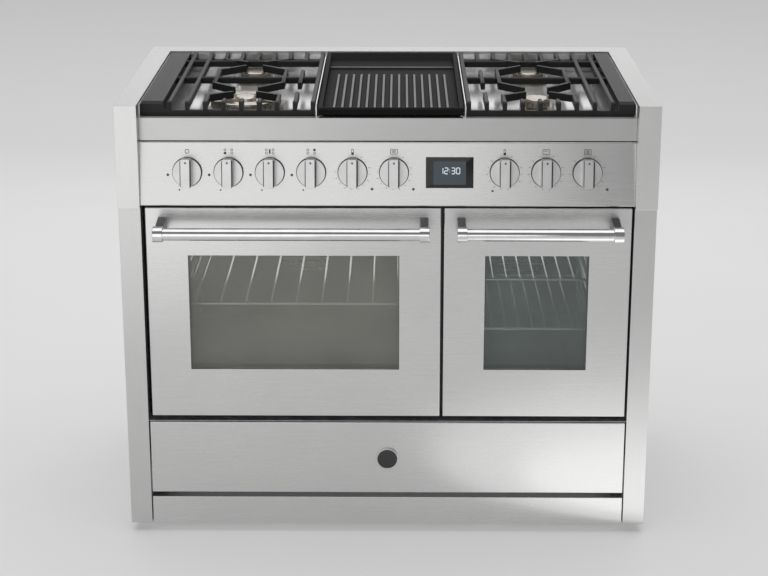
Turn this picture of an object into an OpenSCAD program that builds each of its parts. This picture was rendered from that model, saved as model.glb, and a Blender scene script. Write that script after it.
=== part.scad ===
// Freestanding range cooker with two ovens, a gas hob with a griddle, and a storage drawer.
// Millimetres. X runs to the right, Y to the back, Z up. The origin is at the bottom centre
// of the bounding box, handles included. A distance d is measured back from the upper posts.

/* [Cabinet] */
// Overall width over the side panels
body_w = 1000; // [980:1:1100]
// Depth from the face of the upper posts to the back
body_d = 600; // [590:1:660]
// Thickness of the steel sheet
sheet_t = 1.5; // [1.2:0.1:2]
// Width of each front post and side rail
post_w = 41; // [38:1:46]
// Depth of the folded return behind a lower post
post_return = 30; // [24:1:36]
// Depth of the box-shaped upper post
upper_post_d = 41; // [36:1:48]
// Step from the upper post's face back to the lower post's face
post_step = 9; // [5:1:12]
// How far the upper post reaches below the control panel
post_drop = 4; // [2:0.5:5]
// Depth of the rear top rail
rear_rail_d = 49; // [44:1:56]
// Height of the rail skirt along the sides and back
skirt_h = 40; // [36:1:46]

/* [Heights] */
// Clearance below the posts and the plinth
foot_h = 18; // [14:1:30]
// Height of the plinth
plinth_h = 56; // [52:1:66]
// Gap between the plinth and the drawer front
plinth_gap = 9.5; // [6:0.5:12]
// Height of the drawer front
drawer_h = 146; // [136:1:156]
// Gap between the drawer front and the doors
door_gap = 13; // [13:0.5:18]
// Height of the oven doors
door_h = 413; // [404:0.5:424]
// Gap between the doors and the control panel
panel_gap = 3.5; // [3:0.5:8]
// Upright height of the leaning control panel
panel_h = 118.5; // [112:0.5:126]
// Gap between the control panel and the worktop's front edge
fascia_gap = 2; // [1:0.5:4]
// Height of the worktop's front edge
fascia_h = 42.5; // [38:0.5:48]
// Rise of the top rails above the worktop's front edge
rail_rise = 28; // [26:0.5:32]

/* [Fronts] */
// Setback of the doors, drawer and plinth behind the upper posts
front_set = 8; // [6:1:10]
// Gap beside the drawer front and the plinth
side_gap = 2.5; // [1.5:0.5:4]
// Gap between the left door and the left post
left_door_gap = 8; // [6:0.5:9]
// Gap between the right door and the right post
right_door_gap = 4.5; // [3:0.5:6]
// Gap between the two doors
mid_gap = 5.5; // [4:0.5:7]
// Width of the left door
left_door_w = 551; // [535:1:565]
// Thickness of the doors
door_t = 42; // [40:1:44]
// Width of the left window
left_win_w = 396; // [380:1:400]
// Width of the right window
right_win_w = 194.5; // [180:1:200]
// Height of the windows
win_h = 226; // [210:1:235]
// Distance from the top of a door to its window
win_drop = 92; // [84:1:100]
// Thickness of the door glass
glass_t = 4; // [3:0.5:5]
// Depth of the drawer front
drawer_front_t = 18; // [15:1:22]
// Diameter of the round badge
badge_d = 43; // [36:1:50]
// Thickness of the badge
badge_t = 4; // [3:0.5:6]
// Height of the badge's centre above the drawer's lower edge
badge_up = 71.8; // [60:0.1:85]

/* [Handles] */
// Diameter of the handle bar
bar_d = 23; // [20:0.5:26]
// Diameter of the end caps
cap_d = 29; // [27:0.1:32]
// Length of an end cap
cap_l = 18.5; // [14:0.5:24]
// Distance of the bar's axis in front of the upper posts
bar_out = 60; // [50:1:70]
// Distance from the top of a door to the bar's axis
bar_drop = 32; // [26:0.5:36]
// Distance from a door's side to the end of its handle
handle_inset = 22.5; // [16:0.5:30]
// Width of a bracket between door and handle
bracket_w = 16; // [12:1:18]
// Height of a bracket
bracket_h = 28; // [24:1:30]

/* [Door hinges] */
// Height of the pivot above a door's lower edge
pivot_up = 15; // [14:0.5:16]
// Distance of the pivot behind a door's face
pivot_in = 20; // [19:0.5:21]
// Diameter of the hinge pins
pin_d = 8; // [6:0.5:8]
// Radial running clearance of pins, spindles and shafts
fit_gap = 0.05; // [0.02:0.01:0.1]
// Thickness of a hinge arm
arm_t = 6; // [4:0.5:8]
// Distance from a door's side to its hinge
hinge_inset = 40; // [36:1:60]

/* [Control panel] */
// Setback of the panel's upper edge behind the upper posts
panel_set_top = 25; // [22:1:28]
// Setback of the panel's lower edge behind the upper posts
panel_set_low = 8; // [6:1:12]
// Height of the knobs' axes above the panel's lower edge
knob_up = 62.5; // [55:0.5:66]
// Distance from the cabinet's left post to the first knob
knob_inset = 88.5; // [86:0.5:93]
// Distance from the last knob to the cabinet's right post
right_knob_inset = 89.5; // [85:0.5:94]
// Distance between the two knobs beside the display
display_bay = 204.5; // [190:0.5:210]
// Diameter of a knob's dial
dial_d = 55; // [48:0.5:60]
// Thickness of a knob's dial
dial_t = 8; // [6:0.5:10]
// Width of a knob's grip bar
grip_w = 21.5; // [18:0.5:24]
// Height of a knob's grip bar
grip_h = 54; // [46:0.5:54]
// Distance from the panel to the face of the grip bar
knob_out = 35; // [28:0.5:38]
// Gap between a knob and the panel
knob_gap = 1; // [0.8:0.1:2]
// Diameter of a knob's spindle
spindle_d = 6; // [5:0.5:8]
// Distance from the display's centre to the knob on its right
display_to_knob = 101.5; // [98:0.5:104]
// Width of the display glass
display_w = 88; // [80:1:92]
// Height of the display glass
display_h = 57; // [50:0.5:62]

/* [Hob] */
// Setback of the worktop's front edge behind the upper posts
worktop_set = 26; // [22:1:28]
// Depth of the pan's floor below the worktop's front edge
pan_depth = 14; // [12:0.5:18]
// Width of the griddle
griddle_w = 268; // [250:1:280]
// X of the griddle's centre
griddle_x = 6; // [0:1:10]
// Number of griddle ribs
rib_n = 15; // [10:1:17]
// Distance between neighbouring ribs
rib_pitch = 15.1; // [12:0.1:15.5]
// Width of a rib
rib_w = 6; // [4:0.5:8]
// Length of the ribs along the depth
rib_l = 333; // [300:1:345]
// Width of the right grate's broad plate
plate_w = 28.7; // [24:0.1:34]
// Width of a grate bar
grate_bar = 8; // [6:0.5:9]
// Height of a grate bar
grate_bar_h = 14; // [10:0.5:14]
// Distance of the grates' tops below the rails
grate_drop = 2; // [1:0.5:5]
// Distance of the front burners behind the upper posts
front_burner_d = 162; // [155:1:170]
// Distance of the rear burners behind the upper posts
rear_burner_d = 427; // [415:1:440]
// Diameter of the wok burner's ring
wok_d = 134; // [120:1:140]
// Diameter of the small burner's cap
small_cap_d = 50; // [44:1:56]
// Diameter of the rear burners' caps
rear_cap_d = 62; // [56:1:70]

/* [Ovens] */
// Width of the left oven
left_oven_w = 450; // [430:1:460]
// Width of the right oven
right_oven_w = 240; // [225:1:245]
// Height of the ovens
oven_h = 318; // [300:1:325]
// Depth of the ovens
oven_d = 430; // [400:1:440]
// Distance from a door's lower edge to its oven's floor
oven_up = 48; // [44:1:52]
// Thickness of the insulation
wool_t = 25; // [20:1:30]
// Compressed thickness of the door seals
seal_t = 6.7; // [6:0.1:8]
// Diameter of a fan's impeller
fan_d = 130; // [110:1:150]
// Diameter of the rack wires
wire_d = 5; // [4:0.5:6]
// Distance between neighbouring wires of the left rack
left_wire_pitch = 49; // [30:1:60]
// Distance between neighbouring wires of the right racks
right_wire_pitch = 26; // [20:1:40]

/* [Storage drawer] */
// Distance from the cabinet's opening to the drawer box on each side
box_side = 22; // [20:1:26]
// Depth of the drawer box
box_d = 490; // [450:1:500]
// Height of the drawer box
box_h = 95; // [80:1:105]
// Thickness of the drawer box's walls
box_t = 1.5; // [1.2:0.1:3]

/* [Services] */
// Diameter of the gas inlet's thread
gas_d = 21; // [20:0.5:24]
// Diameter of the gas pipe
pipe_od = 18; // [15:0.5:19]
// Inner diameter of the cable gland
gland_bore = 12; // [10:0.5:14]
// Diameter of a levelling foot
foot_d = 40; // [30:1:50]
// Diameter of a foot's screw
foot_screw_d = 10; // [8:1:12]

/* [Hidden] */
$fn = 48;

// Finishes
steel_c = [0.78, 0.78, 0.77];
bright_c = [0.9, 0.9, 0.9];
iron_c = [0.16, 0.16, 0.17];
black_c = [0.05, 0.05, 0.05];
enamel_c = [0.2, 0.21, 0.24];
glass_c = [0.4, 0.43, 0.42];
brass_c = [0.75, 0.62, 0.4];
zinc_c = [0.62, 0.64, 0.65];

// Small clearances
touch = 0.3;
over = 1;

// Widths
half_w = body_w / 2;
half_in = half_w - post_w;
skin_x = half_w - sheet_t;
front_half = half_in - side_gap;
left_x0 = -half_in + left_door_gap;
left_x1 = left_x0 + left_door_w;
right_x0 = left_x1 + mid_gap;
right_x1 = half_in - right_door_gap;
left_mid = (left_x0 + left_x1) / 2;
right_mid = (right_x0 + right_x1) / 2;

// Heights
plinth_z = foot_h + plinth_h;
drawer_z0 = plinth_z + plinth_gap;
drawer_z1 = drawer_z0 + drawer_h;
door_z0 = drawer_z1 + door_gap;
door_z1 = door_z0 + door_h;
panel_z0 = door_z1 + panel_gap;
panel_z1 = panel_z0 + panel_h;
post_z = panel_z0 - post_drop;
fascia_z0 = panel_z1 + fascia_gap;
worktop_z = fascia_z0 + fascia_h;
rail_z = worktop_z + rail_rise;
skirt_z = rail_z - skirt_h;
pan_z = worktop_z - pan_depth;
grate_z = rail_z - grate_drop;

// Depths
front_y = -(body_d - bar_out - cap_d / 2) / 2;
back_sheet = body_d - 3;
hob_back = body_d - rear_rail_d;
pan_front = worktop_set + 14;
door_back = front_set + door_t;
frame_d = door_back + seal_t + touch;
oven_front = frame_d + sheet_t;
oven_back = oven_front + oven_d;

// Ovens
oven_z0 = door_z0 + oven_up;
oven_z1 = oven_z0 + oven_h;
left_oven = [left_mid - left_oven_w / 2, left_mid + left_oven_w / 2];
right_oven = [right_mid - right_oven_w / 2, right_mid + right_oven_w / 2];
ovens = [left_oven, right_oven];
oven_mid_z = (oven_z0 + oven_z1) / 2;
shaft_d = 8;
motor_flange_d = 100;
cover_w = 180;
cover_gap = 34;
guide_x = wire_d * 1.3 + touch;
guide_step = 50;
guide_n = 5;
left_rack_levels = [3];
right_rack_levels = [2, 4];

// Door hinges
pivot_d = front_set + pivot_in;
pivot_z = door_z0 + pivot_up;
cheek_t = 3;
slot_gap = 1;
cheek_size = 22;

// Control panel
panel_lean = atan((panel_set_top - panel_set_low) / panel_h);
knob_z = panel_z0 + knob_up;
knob_d = panel_set_low + knob_up * tan(panel_lean);
left_knob_n = 6;
right_knob_n = 3;
knob_steps = left_knob_n + right_knob_n - 2;
knob_pitch = (2 * half_in - knob_inset - right_knob_inset - display_bay) / knob_steps;
knob_xs = [for (i = [0:left_knob_n - 1]) -half_in + knob_inset + i * knob_pitch,
           for (i = [right_knob_n - 1:-1:0]) half_in - right_knob_inset - i * knob_pitch];
display_x = knob_xs[left_knob_n] - display_to_knob;
tap_n = 5;
panel_return = 22;
spindle_hole = spindle_d + 4;
spindle_in = 14;
spindle_back = 34;
tap_w = 34;
tap_depth = 46;
tap_stem_d = 14;
tap_stem_past = 15;
switch_d = 42;
switch_l = 30;

// Hob
strip_t = 2;
strip_gap = 2.5;
bar_gap = 1.7;
griddle_x0 = griddle_x - griddle_w / 2;
griddle_x1 = griddle_x + griddle_w / 2;
inner_step = strip_gap + strip_t + bar_gap + grate_bar / 2;
plate_gap = 3.5;
plate_slot = 7;
half_bars = 4;
plate_in_x = half_in - plate_gap - plate_w;
bar_pitch = (plate_in_x - plate_slot - grate_bar / 2 - griddle_x1 - inner_step) / (2 * half_bars);
left_burner_x = griddle_x0 - inner_step - half_bars * bar_pitch;
right_burner_x = griddle_x1 + inner_step + half_bars * bar_pitch;
grate_front = pan_front + 6;
grate_back = hob_back - 3;
grate_foot = 12;
grate_rail_z0 = pan_z + grate_foot;
grate_rail_z1 = grate_rail_z0 + 12;
burners = [[left_burner_x, front_burner_d, wok_d], [right_burner_x, front_burner_d, small_cap_d],
           [left_burner_x, rear_burner_d, rear_cap_d], [right_burner_x, rear_burner_d, rear_cap_d]];
burner_base_h = 9;
burner_head_h = 11;
cap_t = 5;
griddle_z0 = worktop_z + 3.5;
griddle_floor = griddle_z0 + 4;
griddle_wall = 8;
rib_h = 4;
griddle_front = worktop_set + 4;
rib_front = 22;

// Drawer
box_half = half_in - box_side;
box_z0 = drawer_z0 + 12;
box_z1 = box_z0 + box_h;
box_front = front_set + drawer_front_t;
runner_z = box_z0 + 40;
slide_t = 4.5;
runner_t = 10;
runner_h = 30;
slide_h = 22;

// Services
pipe_d = panel_set_top + 85;
pipe_z = knob_z - 12;
pipe_x = -half_in + 14;
gas_recess = 20;
gland_x = half_in - 90;
gland_z = drawer_z1 + 90;
gland_d = gland_bore + 10;
box_l = [90, 60, 70];
foot_x = half_w - 60;
foot_ds = [80, body_d - 60];
foot_pad_h = 9;
beam_h = 26;
beam_w = 58;
cross_w = 50;
tie_x = 200;
tie_w = 40;
tie_up = 6;
screw_x = skin_x - 9;
screw_zs = [90, 250, 410, 570, 730];
screw_d = 4;

// A box given by its X, distance behind the upper posts, and Z
module slab(x0, x1, d0, d1, z0, z1) {
    translate([x0, front_y + d0, z0]) cube([x1 - x0, d1 - d0, z1 - z0]);
}

// A cylinder along Y from distance d0 to d1
module rod_y(x, d0, d1, z, dia) {
    translate([x, front_y + d0, z]) rotate([-90, 0, 0]) cylinder(d = dia, h = d1 - d0);
}

// A cylinder along X from x0 to x1
module rod_x(x0, x1, d, z, dia) {
    translate([x0, front_y + d, z]) rotate([0, 90, 0]) cylinder(d = dia, h = x1 - x0);
}

// A cylinder along Z
module rod_z(x, d, z0, z1, dia) {
    translate([x, front_y + d, z0]) cylinder(d = dia, h = z1 - z0);
}

// A side profile of [d, z] points, extruded from x0 to x1
module profile_x(x0, x1, points) {
    translate([x0, front_y, 0]) rotate([90, 0, 90]) linear_extrude(x1 - x0) polygon(points);
}

// Children on the leaning panel: local Z points out of its face, local Y up along it
module on_panel(x) {
    translate([x, front_y + knob_d, knob_z]) rotate([90 - panel_lean, 0, 0]) children();
}

// One side panel, as the right-hand one
module side_sheet() {
    color(steel_c) {
        slab(skin_x, half_w, post_step, back_sheet, foot_h, post_z);
        slab(skin_x, half_w, upper_post_d, back_sheet, post_z, skirt_z);
        slab(half_in, half_w, post_step, post_step + sheet_t, foot_h, post_z);
        slab(half_in, half_in + sheet_t, post_step, post_step + post_return, foot_h, post_z);
        difference() {
            slab(screw_x - 12, half_w, back_sheet - sheet_t, back_sheet, foot_h, skirt_z);
            for (z = screw_zs) rod_y(screw_x, back_sheet - 9, body_d + over, z, screw_d + 0.4);
        }
    }
}

module left_side_panel() {
    mirror([1, 0, 0]) side_sheet();
}

module right_side_panel() {
    side_sheet();
}

// Box-shaped upper post and side rail, as the right-hand ones
module side_rail() {
    slab(half_in, half_w, 0, body_d, rail_z - sheet_t, rail_z);
    slab(skin_x, half_w, 0, body_d, skirt_z, rail_z);
    slab(half_in, half_in + sheet_t, 0, back_sheet, pan_z - sheet_t, rail_z);
    slab(half_in, half_w, 0, sheet_t, post_z, rail_z);
    slab(half_in, half_in + sheet_t, 0, upper_post_d, post_z, rail_z);
    slab(skin_x, half_w, 0, upper_post_d, post_z, rail_z);
    slab(half_in, half_w, 0, upper_post_d, post_z, post_z + sheet_t);
}

module top_frame() {
    color(steel_c) {
        side_rail();
        mirror([1, 0, 0]) side_rail();
        slab(-half_w, half_w, hob_back, body_d, rail_z - sheet_t, rail_z);
        slab(-half_in, half_in, hob_back, hob_back + sheet_t, pan_z - sheet_t, rail_z);
        slab(-half_w, half_w, body_d - sheet_t, body_d, skirt_z, rail_z);
    }
}

module back_panel() {
    vent_n = 8;
    vent_l = 180;
    vent_h = 6;
    vent_z = oven_z1 + 30;
    color(zinc_c) difference() {
        slab(-skin_x, skin_x, back_sheet, back_sheet + sheet_t, foot_h + beam_h, skirt_z);
        for (side = [-1, 1], z = screw_zs)
            rod_y(side * screw_x, back_sheet - over, body_d + over, z, screw_d + 0.4);
        for (side = [-1, 1], row = [0:vent_n - 1])
            slab(side * half_w / 2 - vent_l / 2, side * half_w / 2 + vent_l / 2, back_sheet - over, body_d + over,
                 vent_z + row * 2 * vent_h, vent_z + (row * 2 + 1) * vent_h);
        rod_y(pipe_x, back_sheet - over, body_d + over, pipe_z, 2 * gas_d + 12);
        rod_y(gland_x, back_sheet - over, body_d + over, gland_z, gland_d + 2 * touch);
    }
}

module base_frame() {
    wall = 2;
    beam_x = skin_x - beam_w / 2;
    color(zinc_c) difference() {
        union() {
            for (side = [-1, 1])
                slab(side * beam_x - beam_w / 2, side * beam_x + beam_w / 2,
                     front_set + post_return + 4, back_sheet - sheet_t, foot_h, foot_h + beam_h);
            for (d = foot_ds)
                slab(-skin_x, skin_x, d - cross_w / 2, d + cross_w / 2, foot_h, foot_h + beam_h);
        }
        for (side = [-1, 1])
            slab(side * beam_x - beam_w / 2 + wall, side * beam_x + beam_w / 2 - wall,
                 0, body_d, foot_h + wall, foot_h + beam_h - wall);
        for (d = foot_ds)
            slab(-skin_x + wall, skin_x - wall, d - cross_w / 2 + wall, d + cross_w / 2 - wall,
                 foot_h + wall, foot_h + beam_h - wall);
        for (side = [-1, 1], d = foot_ds)
            rod_z(side * foot_x, d, foot_h - over, foot_h + beam_h + over, foot_screw_d + 0.4);
    }
}

module plinth() {
    color(steel_c) {
        slab(-front_half, front_half, front_set, front_set + sheet_t, foot_h, plinth_z);
        for (z = [foot_h, plinth_z - sheet_t])
            slab(-front_half, front_half, front_set, front_set + post_return, z, z + sheet_t);
        for (side = [-1, 1])
            slab(side * tie_x - tie_w / 2, side * tie_x + tie_w / 2,
                 front_set + sheet_t, foot_ds[0] - cross_w / 2, foot_h + tie_up, foot_h + tie_up + sheet_t);
    }
}

module levelling_feet() {
    color(black_c) for (side = [-1, 1], d = foot_ds) {
        rod_z(side * foot_x, d, 0, foot_pad_h, foot_d);
        rod_z(side * foot_x, d, foot_pad_h - over, foot_h + beam_h - 3, foot_screw_d);
        translate([side * foot_x, front_y + d, foot_pad_h - over])
            cylinder(d = foot_screw_d + 9, h = foot_h - foot_pad_h + over, $fn = 6);
    }
}

module worktop() {
    pan_x = half_in;
    edge_x = half_in - touch;
    color(bright_c) difference() {
        union() {
            slab(-edge_x, edge_x, worktop_set, worktop_set + sheet_t, fascia_z0, worktop_z);
            slab(-edge_x, edge_x, worktop_set, pan_front, worktop_z - sheet_t, worktop_z);
            slab(-edge_x, edge_x, worktop_set, pan_front, fascia_z0, fascia_z0 + sheet_t);
            slab(-pan_x, pan_x, pan_front - sheet_t, pan_front, pan_z - sheet_t, worktop_z);
            slab(-pan_x, pan_x, pan_front - sheet_t, hob_back, pan_z - sheet_t, pan_z);
            slab(-pan_x, pan_x, hob_back - sheet_t, hob_back, pan_z - sheet_t, rail_z - 6);
            for (side = [-1, 1])
                slab(side * (pan_x - sheet_t / 2) - sheet_t / 2, side * (pan_x - sheet_t / 2) + sheet_t / 2,
                     pan_front, hob_back, pan_z, rail_z - 6);
            for (x = [griddle_x0 - strip_gap - strip_t, griddle_x1 + strip_gap])
                slab(x, x + strip_t, pan_front, hob_back, pan_z, grate_z - 3);
        }
        for (b = burners) rod_z(b[0], b[1], pan_z - 10, pan_z + over, b[2] * 0.5);
    }
}

// Leaning sheet, folded back along both long edges
module control_panel() {
    half = half_in - touch;
    slope = tan(panel_lean);
    inner = panel_set_low + sheet_t / cos(panel_lean);
    color(steel_c) difference() {
        profile_x(-half, half, [[panel_set_low, panel_z0], [panel_set_top, panel_z1],
            [panel_set_top + panel_return, panel_z1], [panel_set_top + panel_return, panel_z1 - sheet_t],
            [inner + (panel_h - sheet_t) * slope, panel_z1 - sheet_t],
            [inner + sheet_t * slope, panel_z0 + sheet_t],
            [panel_set_low + panel_return, panel_z0 + sheet_t], [panel_set_low + panel_return, panel_z0]]);
        for (x = knob_xs) on_panel(x) translate([0, 0, -sheet_t - over])
            cylinder(d = spindle_hole, h = sheet_t + 2 * over);
        on_panel(display_x) translate([-display_w / 2, -display_h / 2, -sheet_t - over])
            cube([display_w, display_h, sheet_t + 2 * over]);
    }
}

module display_glass() {
    color(black_c) on_panel(display_x) {
        translate([-display_w / 2 + touch / 2, -display_h / 2 + touch / 2, -sheet_t])
            cube([display_w - touch, display_h - touch, sheet_t + 1]);
    }
}

module display_module() {
    frame = 6;
    depth = 22;
    color(black_c) on_panel(display_x)
        translate([-display_w / 2 - frame, -display_h / 2 - 3, -sheet_t - depth])
            cube([display_w + 2 * frame, display_h + 6, depth]);
}

// A knob with its index dimple and its spindle
module knob(i) {
    x = knob_xs[i - 1];
    hub_d = 20;
    color(bright_c) on_panel(x) {
        difference() {
            union() {
                translate([0, 0, knob_gap]) cylinder(d = dial_d - 2, h = 1);
                translate([0, 0, knob_gap + 1]) cylinder(d = dial_d, h = dial_t - 2);
                translate([0, 0, knob_gap + dial_t - 1]) cylinder(d1 = dial_d, d2 = dial_d - 2, h = 1);
                intersection() {
                    translate([-grip_w / 2, -grip_h / 2, knob_gap + dial_t - 1])
                        cube([grip_w, grip_h, knob_out - knob_gap - dial_t + 1]);
                    cylinder(d = dial_d, h = knob_out);
                }
            }
            cylinder(d = spindle_d + 2 * fit_gap, h = spindle_in + touch);
            translate([0, grip_h / 2 - 6, knob_out - 0.6]) cylinder(d = 3, h = over);
        }
        translate([0, 0, -spindle_back]) cylinder(d = spindle_d, h = spindle_back + spindle_in);
    }
}

// Bore of a tap or a switch for its knob's spindle
module spindle_bore() {
    translate([0, 0, -spindle_back - touch])
        cylinder(d = spindle_d + 2 * fit_gap, h = spindle_back + over);
}

// Tap bodies whose stems saddle the manifold
module gas_taps() {
    stem_root = 6;
    stem_l = pipe_d - panel_set_top + tap_stem_past - tap_depth + stem_root;
    beyond = 60;
    color(brass_c) for (i = [0:tap_n - 1]) difference() {
        on_panel(knob_xs[i]) difference() {
            union() {
                translate([-tap_w / 2, -tap_w / 2, -tap_depth]) cube([tap_w, tap_w, tap_depth - sheet_t]);
                translate([0, 0, panel_set_top - pipe_d - tap_stem_past]) cylinder(d = tap_stem_d, h = stem_l);
            }
            spindle_bore();
        }
        rod_x(knob_xs[i] - tap_w, knob_xs[i] + tap_w, pipe_d, pipe_z, pipe_od + 2 * touch);
        slab(knob_xs[i] - tap_w, knob_xs[i] + tap_w, pipe_d, pipe_d + beyond, pipe_z - beyond, pipe_z + beyond);
    }
}

module gas_manifold() {
    far_x = knob_xs[tap_n - 1] + tap_w;
    color(zinc_c) {
        rod_x(pipe_x, far_x, pipe_d, pipe_z, pipe_od);
        translate([pipe_x, front_y + pipe_d, pipe_z]) sphere(d = pipe_od);
        rod_y(pipe_x, pipe_d, back_sheet - gas_recess, pipe_z, pipe_od);
        rod_y(pipe_x, back_sheet - gas_recess - over, body_d - 0.5, pipe_z, gas_d);
        translate([pipe_x, front_y + back_sheet - gas_recess - 8, pipe_z]) rotate([-90, 0, 0])
            cylinder(d = gas_d + 14, h = 8, $fn = 6);
    }
}

module oven_switches() {
    color(black_c) for (i = [tap_n:8]) on_panel(knob_xs[i]) difference() {
        translate([0, 0, -sheet_t - switch_l - 8]) cylinder(d = switch_d, h = switch_l + 8);
        spindle_bore();
    }
}

// Burner cup: skirt on the pan, and a slotted flame ring
module burner_body(x, d, dia) {
    slots = round(dia / 4);
    head_z = pan_z + burner_base_h;
    difference() {
        union() {
            rod_z(x, d, pan_z, pan_z + 3, dia + 16);
            rod_z(x, d, pan_z, head_z + over, dia * 0.8);
            rod_z(x, d, head_z, head_z + burner_head_h, dia);
        }
        rod_z(x, d, pan_z - over, head_z + burner_head_h + over, dia * 0.45);
        for (i = [0:slots - 1]) translate([x, front_y + d, head_z + 2]) rotate([0, 0, i * 360 / slots])
            translate([dia * 0.41, -0.8, 0]) cube([dia * 0.15, 1.6, burner_head_h - 4]);
    }
}

module burner_bodies() {
    color(brass_c) for (b = burners) burner_body(b[0], b[1], b[2]);
}

// Caps: solid discs with a rounded shoulder, and a ring with an inner cap on the wok burner
module burner_caps() {
    cap_z = pan_z + burner_base_h + burner_head_h;
    color(bright_c) for (b = burners) {
        if (b[2] > 1.5 * rear_cap_d) {
            translate([b[0], front_y + b[1], cap_z]) rotate_extrude()
                polygon([[b[2] * 0.31, 0], [b[2] / 2, 0], [b[2] / 2 - 1, cap_t - 2], [b[2] / 2 - 4, cap_t - 1],
                         [b[2] * 0.33, cap_t - 1]]);
            translate([b[0], front_y + b[1], cap_z]) rotate_extrude()
                polygon([[0, -6], [b[2] * 0.22, -6], [b[2] * 0.22, 0], [b[2] * 0.15, 0], [b[2] * 0.15, cap_t],
                         [b[2] * 0.13, cap_t + 2], [0, cap_t + 2]]);
        } else {
            translate([b[0], front_y + b[1], cap_z]) rotate_extrude()
                polygon([[0, 0], [b[2] / 2, 0], [b[2] / 2, cap_t - 2], [b[2] / 2 - 2, cap_t], [0, cap_t]]);
        }
    }
}

module igniters() {
    color([0.9, 0.89, 0.86]) for (b = burners, side = [-1, 1]) {
        rod_z(b[0] + side * (b[2] / 2 + 6), b[1] - 10, pan_z + 3, pan_z + burner_base_h + 8, 4);
    }
}

module griddle_burner() {
    tube_d = 13;
    reach = griddle_w / 4;
    z = pan_z + tube_d / 2 + touch;
    inset = 38;
    bend_d = griddle_front + rib_front + inset + reach;
    tube_back = griddle_front + rib_front + rib_l - 8;
    color(zinc_c) {
        for (side = [-1, 1]) rod_y(griddle_x + side * reach, bend_d, tube_back, z, tube_d);
        translate([griddle_x, front_y + bend_d, z]) rotate([0, 0, 180]) rotate_extrude(angle = 180)
            translate([reach, 0]) circle(d = tube_d);
    }
}

// One oven's opening cut out of a plate
module oven_cut(o, d0, d1) {
    slab(o[0], o[1], d0, d1, oven_z0, oven_z1);
}

// X of the two hinges of a door
function hinge_xs(x0, x1) = [x0 + hinge_inset, x1 - hinge_inset];
all_hinge_xs = concat(hinge_xs(left_x0, left_x1), hinge_xs(right_x0, right_x1));

module oven_front_frame() {
    color(black_c) {
        difference() {
            slab(-skin_x, skin_x, frame_d, frame_d + sheet_t, drawer_z1 + 2, panel_z0 - 2);
            for (o = ovens) oven_cut(o, frame_d - over, frame_d + sheet_t + over);
        }
        for (x = all_hinge_xs) difference() {
            union() {
                slab(x - arm_t / 2, x + arm_t / 2, pivot_d, frame_d, pivot_z - 7, pivot_z + 7);
                rod_x(x - arm_t / 2, x + arm_t / 2, pivot_d, pivot_z, 14);
            }
            rod_x(x - arm_t, x + arm_t, pivot_d, pivot_z, pin_d + 2 * fit_gap);
        }
    }
}

module heat_shield() {
    z = drawer_z1 + 0.7;
    color(zinc_c) {
        slab(-skin_x, skin_x, post_step + post_return + touch, back_sheet - sheet_t, z, drawer_z1 + 2);
        slab(-half_in + touch, half_in - touch, front_set + 4, post_step + post_return + touch, z, drawer_z1 + 2);
    }
}

// Enamelled box, open at the front, with holes for the fan shaft
module cavity(o) {
    color(enamel_c) difference() {
        slab(o[0] - sheet_t, o[1] + sheet_t, oven_front, oven_back + sheet_t,
             oven_z0 - sheet_t, oven_z1 + sheet_t);
        oven_cut(o, oven_front - over, oven_back);
        rod_y((o[0] + o[1]) / 2, oven_back - over, oven_back + 3, oven_mid_z, shaft_d + 4);
    }
}

module left_oven_cavity() {
    cavity(left_oven);
}

module right_oven_cavity() {
    cavity(right_oven);
}

module oven_insulation() {
    in = sheet_t + touch;
    out = in + wool_t;
    color([0.85, 0.8, 0.55]) for (o = ovens) difference() {
        slab(o[0] - out, o[1] + out, oven_front + touch, oven_back + out, oven_z0 - out, oven_z1 + out);
        slab(o[0] - in, o[1] + in, oven_front - over, oven_back + in, oven_z0 - in, oven_z1 + in);
        rod_y((o[0] + o[1]) / 2, oven_back, oven_back + out + over, oven_mid_z, motor_flange_d + 6);
    }
}

module oven_seals() {
    rim = 9;
    color(black_c) for (o = ovens) difference() {
        slab(o[0] - rim, o[1] + rim, frame_d - seal_t, frame_d, oven_z0 - rim, oven_z1 + rim);
        slab(o[0], o[1], frame_d - seal_t - over, frame_d + over, oven_z0, oven_z1);
    }
}

// Serpentine rod under an oven's roof
module element(o) {
    runs = 4;
    margin = 30;
    rod = 7;
    from_front = 50;
    from_back = 60;
    from_roof = 16;
    pitch = (o[1] - o[0] - 2 * margin) / (runs - 1);
    z = oven_z1 - from_roof;
    near = oven_front + from_front + pitch / 2;
    far = oven_back - from_back - pitch / 2;
    for (i = [0:runs - 1])
        rod_y(o[0] + margin + i * pitch, near, (i == 0 || i == runs - 1) ? oven_back : far, z, rod);
    for (i = [0, 2]) translate([o[0] + margin + (i + 0.5) * pitch, front_y + near, z])
        rotate([0, 0, 180]) rotate_extrude(angle = 180) translate([pitch / 2, 0]) circle(d = rod);
    translate([o[0] + margin + 1.5 * pitch, front_y + far, z])
        rotate_extrude(angle = 180) translate([pitch / 2, 0]) circle(d = rod);
}

module heating_elements() {
    color([0.35, 0.3, 0.28]) for (o = ovens) element(o);
}

module fan_covers() {
    rows = 9;
    slot_l = 100;
    slot_h = 6;
    slot_step = 12;
    half = cover_w / 2;
    plate_d = oven_back - cover_gap;
    color(enamel_c) for (o = ovens) {
        mid = (o[0] + o[1]) / 2;
        difference() {
            slab(mid - half, mid + half, plate_d, oven_back, oven_mid_z - half, oven_mid_z + half);
            slab(mid - half + sheet_t, mid + half - sheet_t, plate_d + sheet_t, oven_back + over,
                 oven_mid_z - half + sheet_t, oven_mid_z + half - sheet_t);
            for (i = [1:rows]) {
                z = oven_mid_z + (i - (rows + 1) / 2) * slot_step;
                slab(mid - slot_l / 2, mid + slot_l / 2, plate_d - over, plate_d + sheet_t + over,
                     z - slot_h / 2, z + slot_h / 2);
            }
        }
    }
}

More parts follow.
